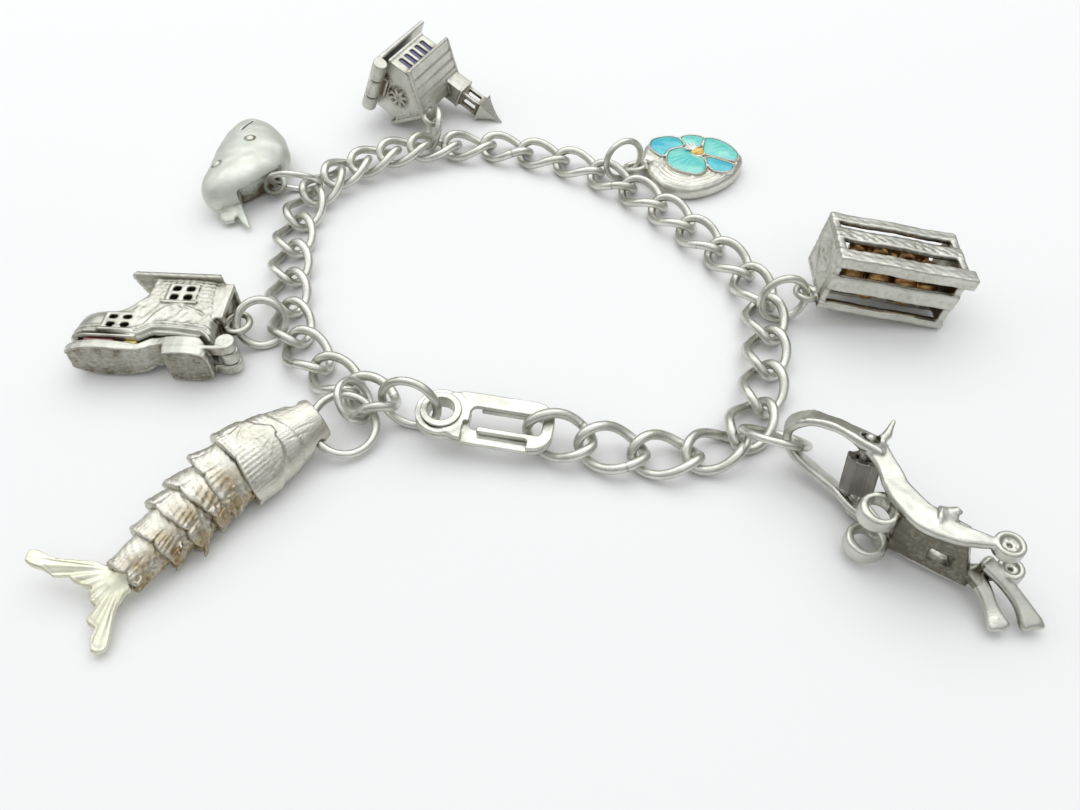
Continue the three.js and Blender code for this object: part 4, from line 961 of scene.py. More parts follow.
def whale():
    table = WHALE_ROWS.copy()
    table[:, 3:] = table[:, 3:] ** 2
    fine_y, columns = soft_columns(table, 120, 5)
    tail_end, nose = table[0, 0], table[-1, 0]

    def hull(x, y, z):
        cx, cz, w2, h2 = [np.interp(y, fine_y, c) for c in columns]
        w, h = np.sqrt(np.maximum(w2, 1e-4)), np.sqrt(np.maximum(h2, 1e-4))
        q = np.sqrt(((x - cx) / w) ** 2 + ((z - cz) / h) ** 2)
        past = np.maximum(tail_end - y, y - nose)
        return np.maximum((q - 1) * np.minimum(w, h) * 0.9, past)

    body = Cast((-44.2, 28.6, 0.0), (-32.0, 49.0, 6.5), GRID["whale"])
    body.add(Shape(hull, (-43.6, 31.0, 0.0), (-32.4, 48.6, 6.2))).even()
    # the hollow under the belly, with a rounded rim
    body.cut(block((-5.2, -8, -1), (8, 0, 3.8), 0.5).at((-35.3, 37.1, 0), (0, 0, 38.3)), 0.35)
    # creases over the flank and above the flukes
    def creases(x, y, z):
        a = (x + 38.0) * 0.62 + (y - 38.6) * 0.78
        b = (x + 38.0) * 0.78 - (y - 38.6) * 0.62
        fold = -0.07 * bell(b - 0.9 - 0.25 * np.sin(a * 0.7), 0.7)
        fold = fold - 0.06 * bell(b - 2.6 - 0.3 * np.sin(a * 0.9 + 1), 0.6)
        soft = 0.04 * np.sin(a * 1.1 + 0.6 * b) * np.sin(b * 0.8) + 0.02 * np.sin(2.6 * a) * np.sin(2.2 * b)
        return (fold * unit((38.6 - y) / 3 + 0.9) + soft) * unit((z - 1.6) / 1.5)
    body.relief(creases, (-44, 29, 0), (-32, 49, 6.5))
    # eyes: a raised disc in a groove, and a small dot beside one of them
    for x, y, z, tilt in ((-37.8, 40.9, 5.95, 2), (-41.2, 36.0, 5.3, -26)):
        turn = (0, tilt, 0)
        matrix = turn_matrix(turn)
        up = matrix @ np.array([0, 0, 1.0])
        centre = np.array([x, y, z])
        body.cut(hoop(centre + up * 0.05, 0.62, 0.26, turn), 0.04)
        body.add(ball((0, 0, 0), (0.5, 0.5, 0.2)).at(centre + up * 0.0, turn), 0.03)
    body.add(ball((-38.3, 43.0, 5.85), 0.16), 0.05)
    # the mouth is a dark slit over the head
    body.cut(ribbon([[-39.4, 43.2, 5.7, 0.9, 0.24], [-38.9, 44.4, 5.65, 1.1, 0.26],
                     [-38.5, 45.9, 5.3, 0.9, 0.24]],
                    (0, 0.2, 1), 0.1), 0.03)
    # lobe and fluke of the tail
    body.add(ribbon([[-40.2, 34.4, 2.0, 1.7, 1.4], [-40.0, 32.4, 1.5, 1.9, 1.15],
                     [-39.6, 30.9, 1.0, 2.2, 1.0], [-39.4, 30.2, 0.8, 1.6, 0.8]], (1, 0, 0), 0.5), 0.4)
    body.add(ribbon([[-39.4, 34.4, 2.0, 1.5, 1.2], [-38.6, 32.2, 1.4, 1.2, 0.7],
                     [-37.5, 30.2, 0.9, 1.0, 0.55], [-36.6, 28.9, 0.6, 0.25, 0.4]], (1, 0, 0), 0.3), 0.3)
    body.add(hoop((-34.6, 36.5, 1.9), 1.225, 0.76, (40, 0, 0)), 0.2)
    body.add(ball((-35.7, 37.4, 2.1), (0.8, 0.8, 0.6)), 0.4)
    # painted shade on the low belly; also darker in a patch over the flank crease and in a ring round each
    # eye
    def painted_shade_and_tone(x, y, z, n):
        under = unit((2.6 - z) / 1.5)
        crease = np.exp(-(((x + 36.0) / 3.0) ** 2 + ((y - 36.2) / 1.4) ** 2 + ((z - 3.6) / 0.9) ** 2))
        belly = under * unit((x + 39.4) / 0.8) * unit((y - 33.4) / 1.0)
        rims = 0
        for ex, ey in ((-37.8, 40.9), (-41.2, 36.0)):
            rims = rims + bell(np.hypot(x - ex, y - ey) - 0.62, 0.13) * (z > 4)
        return 0.75 * belly + 0.3 * crease + 0.6 * rims

    body.piece("whale_shell", LAYOUT, SHELL, nodes=("whale_charm",), rounds=2, painted_shade_and_tone=painted_shade_and_tone)


whale()


def oval_distance(u, v, w, h):
    """Nearly true distance to an ellipse of half sizes w and h."""
    near = np.sqrt((u / w) ** 2 + (v / h) ** 2) + 1e-6
    steep = np.sqrt((u / w ** 2) ** 2 + (v / h ** 2) ** 2) + 1e-6
    return near * (near - 1) / steep


def line_distance(points, u, v):
    best = np.full(np.broadcast(u, v).shape, 1e9)
    for (ax, ay), (bx, by) in zip(points[:-1], points[1:]):
        ex, ey = bx - ax, by - ay
        t = unit(((u - ax) * ex + (v - ay) * ey) / (ex * ex + ey * ey))
        best = np.minimum(best, (u - ax - t * ex) ** 2 + (v - ay - t * ey) ** 2)
    return np.sqrt(best)


# The boot
BOOT = Frame((-50.8, 5.6, 2.6), (-86, 0, -3.5))
BOOT_LEAF = "boot_sole_leaf"
BOOT_INNER = 1.65
BOOT_BARREL, BOOT_KNUCKLE = (17.6, 0.45), 1.05
BOOT_TOE = [[0.1, 0], [0, 1.6], [0.3, 3], [0.9, 4.3], [2, 5], [3.2, 4.8], [4.6, 4.8], [6, 5.3], [7, 6.2],
            [7.5, 7.2], [7.4, 9.1]]
BOOT_HEEL = [[14.7, 9.1], [15.1, 6.5], [15.8, 3.5], [16.2, 0.1], [14.9, 1.0], [9.6, 1.1], [8.4, 0.1]]
BOOT_PLAN = [[0.05, 0], [0.2, -0.9], [0.8, -1.6], [1.9, -2.15], [3.4, -2.4], [16.3, -2.4], [16.5, -1.6]]
BOOT_WELT = [[0.2, 0.75], [1.6, 1.0], [4.5, 1.0], [8.2, 0.8], [9.5, 1.75], [14.8, 1.65], [15.9, 0.8]]
BOOT_ARCH = [[8.7, 2.2], [9.3, 3.6], [10.1, 4.6], [11.5, 4.9], [13.2, 4.5], [14.4, 3.9]]
BOOT_ROOF = [[5.0, -2.2], [5.4, -2.85], [15.1, -2.85], [15.1, 2.4], [7.4, 2.4], [6.0, 0.8]]
WINDOWS = [(10.0, 5.7, 1.15, 0.85), (4.4, 1.5, 1.15, 0.70)]
WINDOW_BAR = 0.4


def mirrored(points):
    return points + [[x, -y] for x, y in reversed(points)]


def boot():
    profile = [list(p) for p in curve(BOOT_TOE)] + BOOT_HEEL
    plan = mirrored([list(p) for p in curve(BOOT_PLAN)])

    def skin(x, y, z):
        soft = 0.8 + 0.9 * unit((8 - x) / 3)
        high = 3.9 + 12 * unit((x - 4.6) / 3)
        bulb = (abs(np.minimum(x - 4.6, 0) / 4.6) ** 2.6 + abs(y / 2.42) ** 2.6
                + (np.maximum(z - 1.2, 0) / high) ** 2.6) ** (1 / 2.6)
        return np.maximum(rounded([outline_distance(profile, x, z), outline_distance(plan, x, y)], soft),
                          (bulb - 1) * 2.2)

    upper = Cast((-0.4, -3.1, -0.9), (19.3, 2.9, 10.0), GRID["boot"])
    upper.add(Shape(skin, (0, -2.4, 0), (16.3, 2.4, 9.2)))
    for side in (-1, 1):
        upper.add(slab(1.0, 8.2, side * 2.1 - 0.4, side * 2.1 + 0.4, 0.15, 0.6, 0.15), 0.1)

    # welts, the arch line, shingles round the windows and shallow creases over the toe
    def work(x, y, z):
        face = unit((abs(y) - 1.9) / 0.4)
        welt = line_distance(BOOT_WELT, x, z)
        raised = 0.15 * bell(welt, 0.2) + 0.12 * bell(welt - 0.62, 0.15) * (z > 0.9)
        raised = raised - 0.09 * bell(welt - 0.33, 0.1)
        raised = raised + 0.15 * bell(line_distance(BOOT_ARCH, x, z), 0.17) * face
        # shingles: rows of small tabs, each a little over the next
        row = z / 0.55
        shift = np.floor(row) % 2 * 0.5
        tab = np.abs(((x / 0.75 + shift) % 1) - 0.5)
        shingle = 0.07 * (1 - row % 1) - 0.08 * bell(tab - 0.5, 0.1)
        upper_half = unit((x - 7.6) / 1.2) * unit((z - 4.9) / 0.5)
        raised = raised + shingle * upper_half
        hatch = 0.035 * (np.sin(6.3 * x + 3 * np.sin(1.7 * z)) * np.sin(5.1 * z + 2 * np.sin(1.3 * x))
                         + np.sin(4.1 * (x - z) + 2 * np.sin(2.1 * x)))
        middle = unit((x - 5.6) / 1.5) * (1 - upper_half) * unit((z - 1.9) / 0.5)
        soft = 0.05 * np.sin(1.3 * x + 0.7) * np.sin(1.6 * z + 0.4 * y)
        toe = 0.03 * np.minimum(x - 3.4, 0) ** 2 + 0.03 * (z - 2.0) ** 2 * unit((7 - x) / 2)
        shaft = 0.022 * (x - 11.2) ** 2 * unit((x - 8) / 2)
        flat = unit((abs(y) - 1.2) / 0.8) * 0.7 * np.tanh((toe + shaft) / 0.7)
        return raised + hatch * middle + soft * unit(1 - (x - 5) / 3) - flat

    upper.relief(work, (-0.4, -2.9, 0.2), (16.8, 2.9, 8.8))
    for x, z, wide, high in WINDOWS:
        across, tall = 2 * wide + WINDOW_BAR, 2 * high + WINDOW_BAR
        for side in (-1, 1):
            upper.add(slab(x - 0.32, x + across + 0.32, side * 1.9, side * 2.52, z - 0.32, z + tall + 0.32,
                            0.14), 0.08)
            upper.add(pill((x - 0.5, side * 2.45, z - 0.36), (x + across + 0.5, side * 2.45, z - 0.36),
                           0.2), 0.06)
        upper.relief(lambda u, v, w, x=x, z=z, a=across, t=tall: -0.1 * np.exp(
            -((np.maximum(abs(u - x - a / 2) - a / 2, abs(w - z - t / 2) - t / 2) - 0.05) / 0.09) ** 2)
            + 0 * v, (x - 0.4, -2.8, z - 0.4), (x + across + 0.4, 2.8, z + tall + 0.4))
    upper.cut(prism([[1.5, -1.5], [1.6, 1.4], [2.9, 2.6], [6.6, 3.9], [8.4, 5.2], [14.2, 5.2], [14.9, 2],
                     [14.9, -1.5]],
                    -BOOT_INNER, BOOT_INNER, 0.3, "y"), 0.06)
    upper.cut(prism([[8.4, 5.1], [8.4, 8.4], [13.9, 8.4], [14.2, 5.1]], -BOOT_INNER, BOOT_INNER, 0.1, "y"))
    # the roof: a domed plate in five boards, blunt at the toe end
    upper.add(prism(BOOT_ROOF, 8.9, 9.6, 0.26), 0.05)
    upper.add(pill((5.5, -2.3, 9.27), (6.6, 1.0, 9.27), 0.4), 0.2)

    def boards(x, y, z):
        cut = np.abs(((y + 2.85) / 1.05) % 1 - 0.5)
        rough = 0.02 * np.sin(7 * x + 2 * y) * np.sin(11 * y + x)
        return -0.1 * bell(cut - 0.5, 0.1) + rough - 0.025 * (y + 0.2) ** 2 * (z > 9.25) + 0.08

    upper.relief(boards, (4.9, -3.0, 8.85), (15.2, 2.6, 9.9))
    # the porch over the heel
    upper.add(block((14.4, -1.9, 3.8), (16.4, 1.9, 9.0), 0.2), 0.12)
    upper.cut(block((15.8, -1.2, 4.6), (18, 1.2, 8.4), 0.1), 0.08)
    upper.relief(grain(31, 0.03, 1.5, 7, 2), (15.0, -2.0, 3.6), (16.6, 2.0, 9.1))
    # hinge
    bx, bz = BOOT_BARREL
    upper.add(drum((bx, -0.75, bz), (bx, 0.75, bz), BOOT_KNUCKLE, 0.14))
    upper.add(block((15.3, -0.75, 1.1), (bx + 0.3, 0.75, 2.2), 0.2), 0.15)
    upper.add(block((bx - 0.5, -0.75, bz), (bx + 0.5, 0.75, 1.8), 0.15), 0.15)
    upper.add(hoop((17.3, 0, 4.8), 1.32, 0.76, (90, 0, 0)), 0.2)
    upper.cut(drum((bx, -1, bz), (bx, 1, bz), 0.55, 0))
    for x, z, wide, high in WINDOWS:
        for column in (0, 1):
            for row in (0, 1):
                left, low = x + column * (wide + WINDOW_BAR), z + row * (high + WINDOW_BAR)
                upper.cut(block((left + 0.13, -4, low + 0.08), (left + wide - 0.13, 4, low + high - 0.08),
                                0.24), 0.1)
    upper.piece("boot_house", BOOT, BOOT_SILVER, nodes=("boot_upper",))

    side = [[0.3, -0.2], [8.3, -0.15], [9.5, 0.85], [14.9, 0.75], [16.0, -0.3], [16.2, -1.7], [11.4, -1.7],
            [11.0, -0.2], [9.6, -0.4], [8.6, -1.1], [6.5, -1.4], [0.6, -1.4]]
    edge = [[0.2, -0.8], [0.7, -1.4], [1.6, -1.9], [2.7, -2.2], [4.0, -2.35], [5.6, -2.3], [7.2, -2.1],
            [8.5, -1.85], [9.6, -1.7], [10.4, -1.8], [11.3, -2.1], [12.4, -2.3], [13.5, -2.4], [14.6, -2.3],
            [15.4, -2.1], [15.9, -1.7], [16.2, -1.2]]
    outline = mirrored(edge)

    def tread(x, y, z):
        return rounded([outline_distance(side, x, z), outline_distance(outline, x, y)], 0.2)

    sole = Cast((-0.2, -2.8, -1.9), (19.2, 2.8, 2.3), GRID["sole"])
    sole.add(Shape(tread, (0.2, -2.4, -1.7), (16.3, 2.4, 0.9)))

    # a rim round the tread, scratches along it and small nail heads
    def wear(x, y, z):
        rim = outline_distance(outline, x, y)
        below = z < -0.6
        groove = -0.12 * bell(rim + 0.42, 0.11) * below
        random = np.random.default_rng(17)
        marks = 0
        for _ in range(26):
            cx, cy = random.uniform(0.5, 16), random.uniform(-2, 2)
            a, length = random.normal(0, 0.35), random.uniform(0.5, 2.2)
            along = (x - cx) * math.cos(a) + (y - cy) * math.sin(a)
            away = (y - cy) * math.cos(a) - (x - cx) * math.sin(a)
            marks = marks - 0.05 * bell(away, 0.07) * np.exp(-(along / length) ** 4)
        band = 0.05 * bell(z + 0.75, 0.1) * (rim > -0.5)
        return groove + marks * (z < -0.2) + band

    sole.relief(wear, (0, -2.6, -1.9), (16.5, 2.6, 0.2))
    for x, y in ((1.2, 0), (2.4, -1.3), (2.4, 1.3), (4.4, -1.6), (4.4, 1.6), (6.4, -1.4), (6.4, 1.4),
                 (12.4, -1.4), (12.4, 1.4), (15.0, -1.2), (15.0, 1.2)):
        sole.add(ball((x, y, -1.42 if x < 9 else -1.72), (0.2, 0.2, 0.12)), 0.04)
    bx, bz = BOOT_BARREL
    for start, end in ((-2.15, -0.95), (0.95, 2.15)):
        sole.add(drum((bx, start, bz), (bx, end, bz), BOOT_KNUCKLE, 0.16))
        sole.add(block((14.6, start, -0.75), (bx, end, -0.15), 0.2), 0.2)
    for y in (-2.15, 2.15):
        for r in (0.36, 0.72):
            sole.cut(hoop((bx, y, bz), r, 0.16, (90, 0, 0)), 0.03)
    sole.add(drum((bx, -1.5, bz), (bx, 1.5, bz), 0.35, 0))
    # painted shade: the faces of the tread turned downwards are darkened
    sole.piece("boot_tread", BOOT, CAST, body=BOOT_LEAF, nodes=("boot_sole",), painted_shade_and_tone=lambda x, y, z, n:
               0.42 * unit(-n[:, 2] * 1.4 - 0.5) * (z < 0.2))

    # red and yellow enamel shows in the gap over the sole
    for name, material, low, high, balls, strip in (
            ("boot_enamel_red", ENAMEL_RED, (1.8, -2.3, -1.5), (7.2, 1.6, 1.4),
             ((3.2, -0.1, 1.2), (5.8, -0.1, 1.1)), ((2.6, -2.15, -0.3), (5.9, -1.2, 0.1))),
            ("boot_enamel_yellow", ENAMEL_YELLOW, (6.8, -2.1, -1.5), (13.6, 1.6, 2.4),
             ((8.2, -0.05, 0.95), (12.0, 0.9, 1.2)), ((6.9, -1.95, -0.3), (8.3, -1.1, 0.1)))):
        bumps = Cast(low, high, GRID["bumps"])
        for x, z, size in balls:
            bumps.add(ball((x, 0, z), size), 0.1)
        bumps.add(block(*strip, 0.14), 0.15)
        bumps.piece(name, BOOT, material, body=BOOT_LEAF)


boot()


# The fish
FISH_ROLL, FISH_SLIM, SCALE_WALL, CUP_DEPTH, NECK_SHARE = -31, 0.62, 0.55, 1.5, 0.62
FISH_RIMS = [
    [-22.2, -4.4, 3.1, 2.3], [-28.7, -10.7, 3.15, 4.05], [-30.6, -12.4, 2.9, 3.6], [-31.8, -14.5, 2.8, 3.5],
    [-33.1, -16.6, 2.7, 3.35], [-34.4, -18.7, 2.5, 2.7], [-36.3, -21.5, 2.3, 1.85]]


def fish_frame(row):
    start, end = np.array(FISH_RIMS[row][:3]), np.array(FISH_RIMS[row + 1][:3])
    dx, dy, dz = end - start
    turn = (0, -math.degrees(math.atan2(dz, math.hypot(dx, dy))), math.degrees(math.atan2(dy, dx)))
    return Frame(start, turn), float(np.linalg.norm(end - start))


def rolled(y, z):
    a = math.radians(-FISH_ROLL)
    return y * math.cos(a) - z * math.sin(a), y * math.sin(a) + z * math.cos(a)


def on_fish(x, width, angle):
    """The point at an angle round the fish's oval section."""
    u, v = width * math.cos(angle), width * FISH_SLIM * math.sin(angle)
    roll = math.radians(FISH_ROLL)
    return x, u * math.cos(roll) - v * math.sin(roll), u * math.sin(roll) + v * math.cos(roll)


def fish_angle(y, z):
    u, v = rolled(y, z)
    return np.arctan2(v / FISH_SLIM, u)


def loft_shape(table, first, last, end=None):
    """An oval body along X whose half width follows the table; end moves its last edge by the angle."""
    wide = max(row[1] for row in table) + 0.3

    def distance(x, y, z):
        u, v = rolled(y, z)
        w = slopes(x, table)
        side = oval_distance(u, v, w, w * FISH_SLIM)
        edge = last + (end(np.arctan2(v / FISH_SLIM, u)) if end else 0)
        return rounded([side, first - x + 0 * y, x - edge], 0.08)

    return Shape(distance, (first, -wide, -wide), (last + 0.6, wide, wide))


def cup_shape(x, rim):
    inside = rim - SCALE_WALL
    return loft_shape([[x - CUP_DEPTH - 1, inside * 0.8], [x - CUP_DEPTH, inside * 0.8],
                       [x + 1.5, inside * 1.02], [x + 2.5, inside * 1.02]], x - CUP_DEPTH, x + 1.5)


def fish():
    place, long = fish_frame(0)
    mouth, gill = FISH_RIMS[0][3], FISH_RIMS[1][3]
    head = Cast((-0.4, -4.4, -4.4), (long + 0.9, 4.4, 4.4), GRID["fish_head"])
    head.add(loft_shape([[-0.5, mouth * 0.85], [0.3, mouth], [long * 0.3, mouth * 1.25],
                         [long * 0.6, gill * 0.87], [long * 0.85, gill * 0.97], [long, gill],
                         [long + 1, gill]], -0.1, long,
                        lambda a: -0.05 + 0.5 * np.sqrt(np.abs(np.cos(2.5 * a + 0.5 * np.sin(2 * a) + 0.6)))))

    # plates, engraved lines, the gill cover and the hatching along its edge
    def engraving(x, y, z):
        a, t = fish_angle(y, z), x / long
        jaw = 0.06 * bell(np.abs(np.sin(a)) - 0.25 - 0.5 * t, 0.07) * unit((0.55 - t) * 8)
        gill_line = t - 0.62 - 0.10 * np.cos(2 * a)
        cover = 0.2 * unit(gill_line / 0.03) * unit(1 - gill_line / 0.22)
        second = t - 0.40 - 0.07 * np.cos(2 * a + 0.6)
        cover = cover + 0.12 * unit(second / 0.03) * unit(1 - second / 0.2)
        hatch = 0.022 * np.sin(52 * a + 9 * t) * unit((t - 0.70) * 9)
        hatch = hatch + 0.02 * np.sin(11 * x - 6 * a) * unit((t - 0.45) * 9)
        lines = 0.012 * np.sin(57 * a + 0.7 * np.sin(2 * x)) * unit((0.75 - t) * 6)
        random = np.random.default_rng(5)
        cuts = 0
        for _ in range(34):
            cx, ca, skew = random.uniform(0.4, long * 0.8), random.uniform(-3.1, 3.1), random.normal(0, 0.25)
            away = (np.angle(np.exp(1j * (a - ca)))) * 2.6 - skew * (x - cx)
            cuts = cuts - 0.055 * bell(away, 0.07) * np.exp(-((x - cx) / 1.1) ** 4)
        lip = 0.1 * bell(x - long - 0.15, 0.22)
        return jaw + cover + hatch + lines + cuts + lip

    head.relief(engraving, (0.1, -4.6, -4.6), (long + 0.6, 4.6, 4.6))
    # the fins on the cheek are fans of ridges
    for a0, x0 in ((1.9, long * 0.52), (2.6, long * 0.72), (-1.2, long * 0.52)):
        for k in range(5):
            spread = (k - 2) * 0.16
            start_x, end_x = x0, x0 + 1.9 - 0.12 * abs(k - 2)
            points = []
            for x, a in ((start_x, a0 + spread * 0.3), ((start_x + end_x) / 2, a0 + spread),
                         (end_x, a0 + spread * 1.7)):
                w = slopes(np.array([x]), [[-0.5, mouth], [long * 0.3, mouth * 1.25],
                                           [long * 0.6, gill * 0.87], [long, gill]])[0] + 0.06
                points.append(on_fish(x, w, a))
            head.add(pill(points[0], points[1], 0.14, 0.13),
                     0.05).add(pill(points[1], points[2], 0.13, 0.09), 0.05)
    head.cut(cup_shape(long, gill))
    head.cut(loft_shape([[-2, mouth * 0.62], [3, mouth * 0.85], [4, mouth * 0.85]], -2, 3.0), 0.1)
    roll = math.radians(FISH_ROLL)
    side = np.array([0, math.cos(roll), math.sin(roll)])
    head.cut(drum(np.array([1.5, 0, 0]) - 4 * side, np.array([1.5, 0, 0]) + 4 * side, 0.8, 0), 0.1)
    head.piece("fish_head_shell", place, FISH_SILVER, nodes=("fish_head",))

    for row in range(1, len(FISH_RIMS) - 1):
        place, long = fish_frame(row)
        neck, rim = (FISH_RIMS[row][3] - SCALE_WALL) * NECK_SHARE, FISH_RIMS[row + 1][3]
        random = np.random.default_rng(40 + row)
        phase, bend, scales = random.uniform(0, 6.28), random.uniform(0.3, 0.7), 6 if rim > 3 else 5
        part = Cast((-CUP_DEPTH + 0.2, -rim - 0.4, -rim - 0.4), (long + 0.9, rim + 0.4, rim + 0.4),
                    GRID["scales"])

        def lobes(a, phase=phase, bend=bend, scales=scales):
            turn = scales * a / 2 + phase + bend * np.sin(3 * a + phase)
            return 0.1 + 0.5 * np.abs(np.cos(turn)) ** 0.4 + 0.07 * np.sin(5 * a + phase)

        waist = neck / NECK_SHARE * 0.92
        part.add(loft_shape([[-CUP_DEPTH, neck * 0.85], [-CUP_DEPTH + 0.5, neck], [0.2, waist],
                             [long * 0.55, max(waist, rim * 0.93)], [long, rim], [long + 1, rim]],
                            -CUP_DEPTH + 0.5, long, lobes))

        def scale_work(x, y, z, phase=phase, bend=bend, scales=scales, long=long):
            a = fish_angle(y, z)
            turn = scales * a / 2 + phase + bend * np.sin(3 * a + phase)
            seam = np.abs(np.cos(turn))
            near = unit((x - 0.35 * long) / (0.4 * long))
            hatch = 0.03 * np.sin(17 * turn + 2 * x) * near + 0.02 * np.sin(9 * x + 5 * turn)
            gaps = -0.1 * bell(seam, 0.16) * near
            lip = 0.09 * bell(x - long - 0.25, 0.3)
            rough = np.sin(6 * x + 4 * np.sin(3 * a)) * np.sin(13 * a + 3 * x) + 0.6 * np.sin(11 * x - 9 * a)
            under = unit(0.25 + 0.9 * np.cos(a + 0.3))
            return hatch + gaps + lip + 0.06 * rough * under

        # twigs and beads grow over the side that is turned down
        for _ in range(11):
            a = random.uniform(-0.8, 1.3)
            at_x = random.uniform(0.3, long)
            w = slopes(np.array([at_x]), [[-2, neck], [0.2, neck], [long * 0.55, rim * 0.82],
                                          [long, rim]])[0] - 0.05
            spot = np.array(on_fish(at_x, w, a))
            part.add(ball(spot, random.uniform(0.18, 0.34)), 0.12)
            twig = spot + np.array([random.uniform(0.3, 0.9), *random.uniform(-0.6, 0.6, 2)])
            part.add(pill(spot, twig, 0.2, 0.12), 0.1)
        part.relief(scale_work, (-0.6, -rim - 0.5, -rim - 0.5), (long + 0.9, rim + 0.5, rim + 0.5))
        part.cut(cup_shape(long, rim), 0.05)

        # patchy darkening towards the golden-brown tarnish, a tone of the scales' own, laid only on the side
        # turned down, which is painted shade
        def golden_patches_and_painted_shade(x, y, z, n):
            patch = 0.5 + 0.5 * np.sin(1.7 * x + 1.3 * y) * np.sin(1.9 * z + x)
            return (0.35 + 0.55 * patch) * unit(0.25 + 0.9 * np.cos(fish_angle(y, z) - 0.7))

        part.piece(f"fish_scales_{row}", place, FISH_SILVER, nodes=(f"fish_segment_{row}",), painted_shade_and_tone=golden_patches_and_painted_shade)

    # the tail: a thin plate of two lobes with rays, on a short neck
    fin = [[-38.2, -20.9], [-40.8, -20.4], [-42.7, -20.3], [-44.4, -19.7], [-45.3, -19.8], [-45.2, -20.8],
           [-43.6, -21.5], [-42.7, -22.1], [-41.2, -22.0], [-40.6, -22.6], [-39.2, -22.9], [-39.1, -23.9],
           [-38.5, -24.5], [-39.0, -25.6], [-38.1, -26.4], [-38.3, -27.2], [-37.9, -28.2], [-37.1, -28.4],
           [-36.5, -27.8], [-36.6, -25.0], [-36.3, -23.5], [-35.8, -22.6]]
    fin = curve(fin, closed=True, steps=3)

    def blade(x, y, z):
        level = z - (1.75 - 0.0926 * (x + 36.8) + 0.188 * (y + 21.1)) - 0.35
        return rounded([outline_distance(fin, x, y), abs(level) - 0.33], 0.22)

    tail = Cast((-45.6, -28.7, 0.0), (-34.4, -19.3, 4.6), GRID["tail"])
    tail.add(Shape(blade, (-45.5, -28.6, 0.2), (-35.6, -19.5, 3.4)))
    x0, y0, z0, rim = FISH_RIMS[-1]
    neck = (rim - SCALE_WALL) * 0.5
    root = loft_shape([[-2, neck], [2, neck]], -0.9, 0.2)
    tail.add(root.at((x0, y0, z0 - 0.1), (0, 4, -127)), 0.6)
    tail.add(pill((x0, y0, z0 - 0.2), (-37.4, -22.4, 1.85), 0.6, 0.3), 0.9)

    def rays(x, y, z):
        dx, dy = x + 36.6, y + 21.2
        a, r = np.arctan2(dy, dx), np.hypot(dx, dy)
        ridge = 0.10 * np.cos(a * 26 + 0.4) + 0.015 * np.cos(a * 90)
        return (ridge - 0.05 * bell(outline_distance(fin, x, y) + 0.3, 0.12)) * unit((r - 1.8) / 1.5) + 0 * z

    tail.relief(rays, (-45.6, -28.7, 0.1), (-35.6, -19.3, 3.6))
    tail.piece("fish_tail_fin", LAYOUT, PALE, nodes=("fish_tail",), slot="pale_silver")


# The heart
HEART_EDGE = [
    [13.8, 42.4], [14.3, 45.2], [15.8, 47.0], [18.4, 47.8], [21.9, 47.0], [24.8, 45.6], [26.8, 44.0],
    [27.4, 42.8], [27.0, 41.0], [25.6, 38.6], [22.8, 36.3], [19.5, 35.2], [16.6, 36.1], [14.9, 38.0],
    [14.1, 40.2], [14.6, 41.6]]
HEART_TOP = 2.1
FLOWER = np.array([21.2, 42.9])
PETALS = [
    [[15.0, 44.4], [15.3, 45.7], [16.3, 46.4], [17.9, 46.7], [19.1, 46.1], [19.5, 44.7], [18.6, 44.2],
     [17.6, 43.8], [17.0, 43.0], [16.6, 42.2], [16.0, 42.5], [15.3, 43.4]],
    [[19.4, 46.4], [20.3, 47.0], [21.6, 46.9], [22.4, 46.4], [22.1, 45.4], [21.4, 44.2], [20.4, 44.7],
     [19.7, 45.1]],
    [[22.8, 46.3], [24.3, 46.0], [25.6, 44.8], [26.4, 43.3], [26.5, 42.0], [25.8, 41.1], [24.8, 41.4],
     [23.7, 42.0], [22.7, 42.3], [22.1, 43.0], [22.2, 44.2], [22.5, 45.4]],
    [[22.3, 41.6], [23.2, 41.6], [24.3, 41.0], [25.2, 40.5], [25.6, 39.8], [25.1, 38.8], [24.1, 38.5],
     [23.0, 38.8], [22.4, 39.9]],
    [[17.0, 41.7], [17.5, 43.2], [18.6, 43.9], [19.6, 43.9], [20.6, 42.7], [21.7, 41.6], [22.0, 40.4],
     [21.7, 38.9], [20.8, 38.1], [19.5, 38.3], [18.1, 39.0], [17.2, 40.1]]]
PETAL_BLUE = (0, 3)


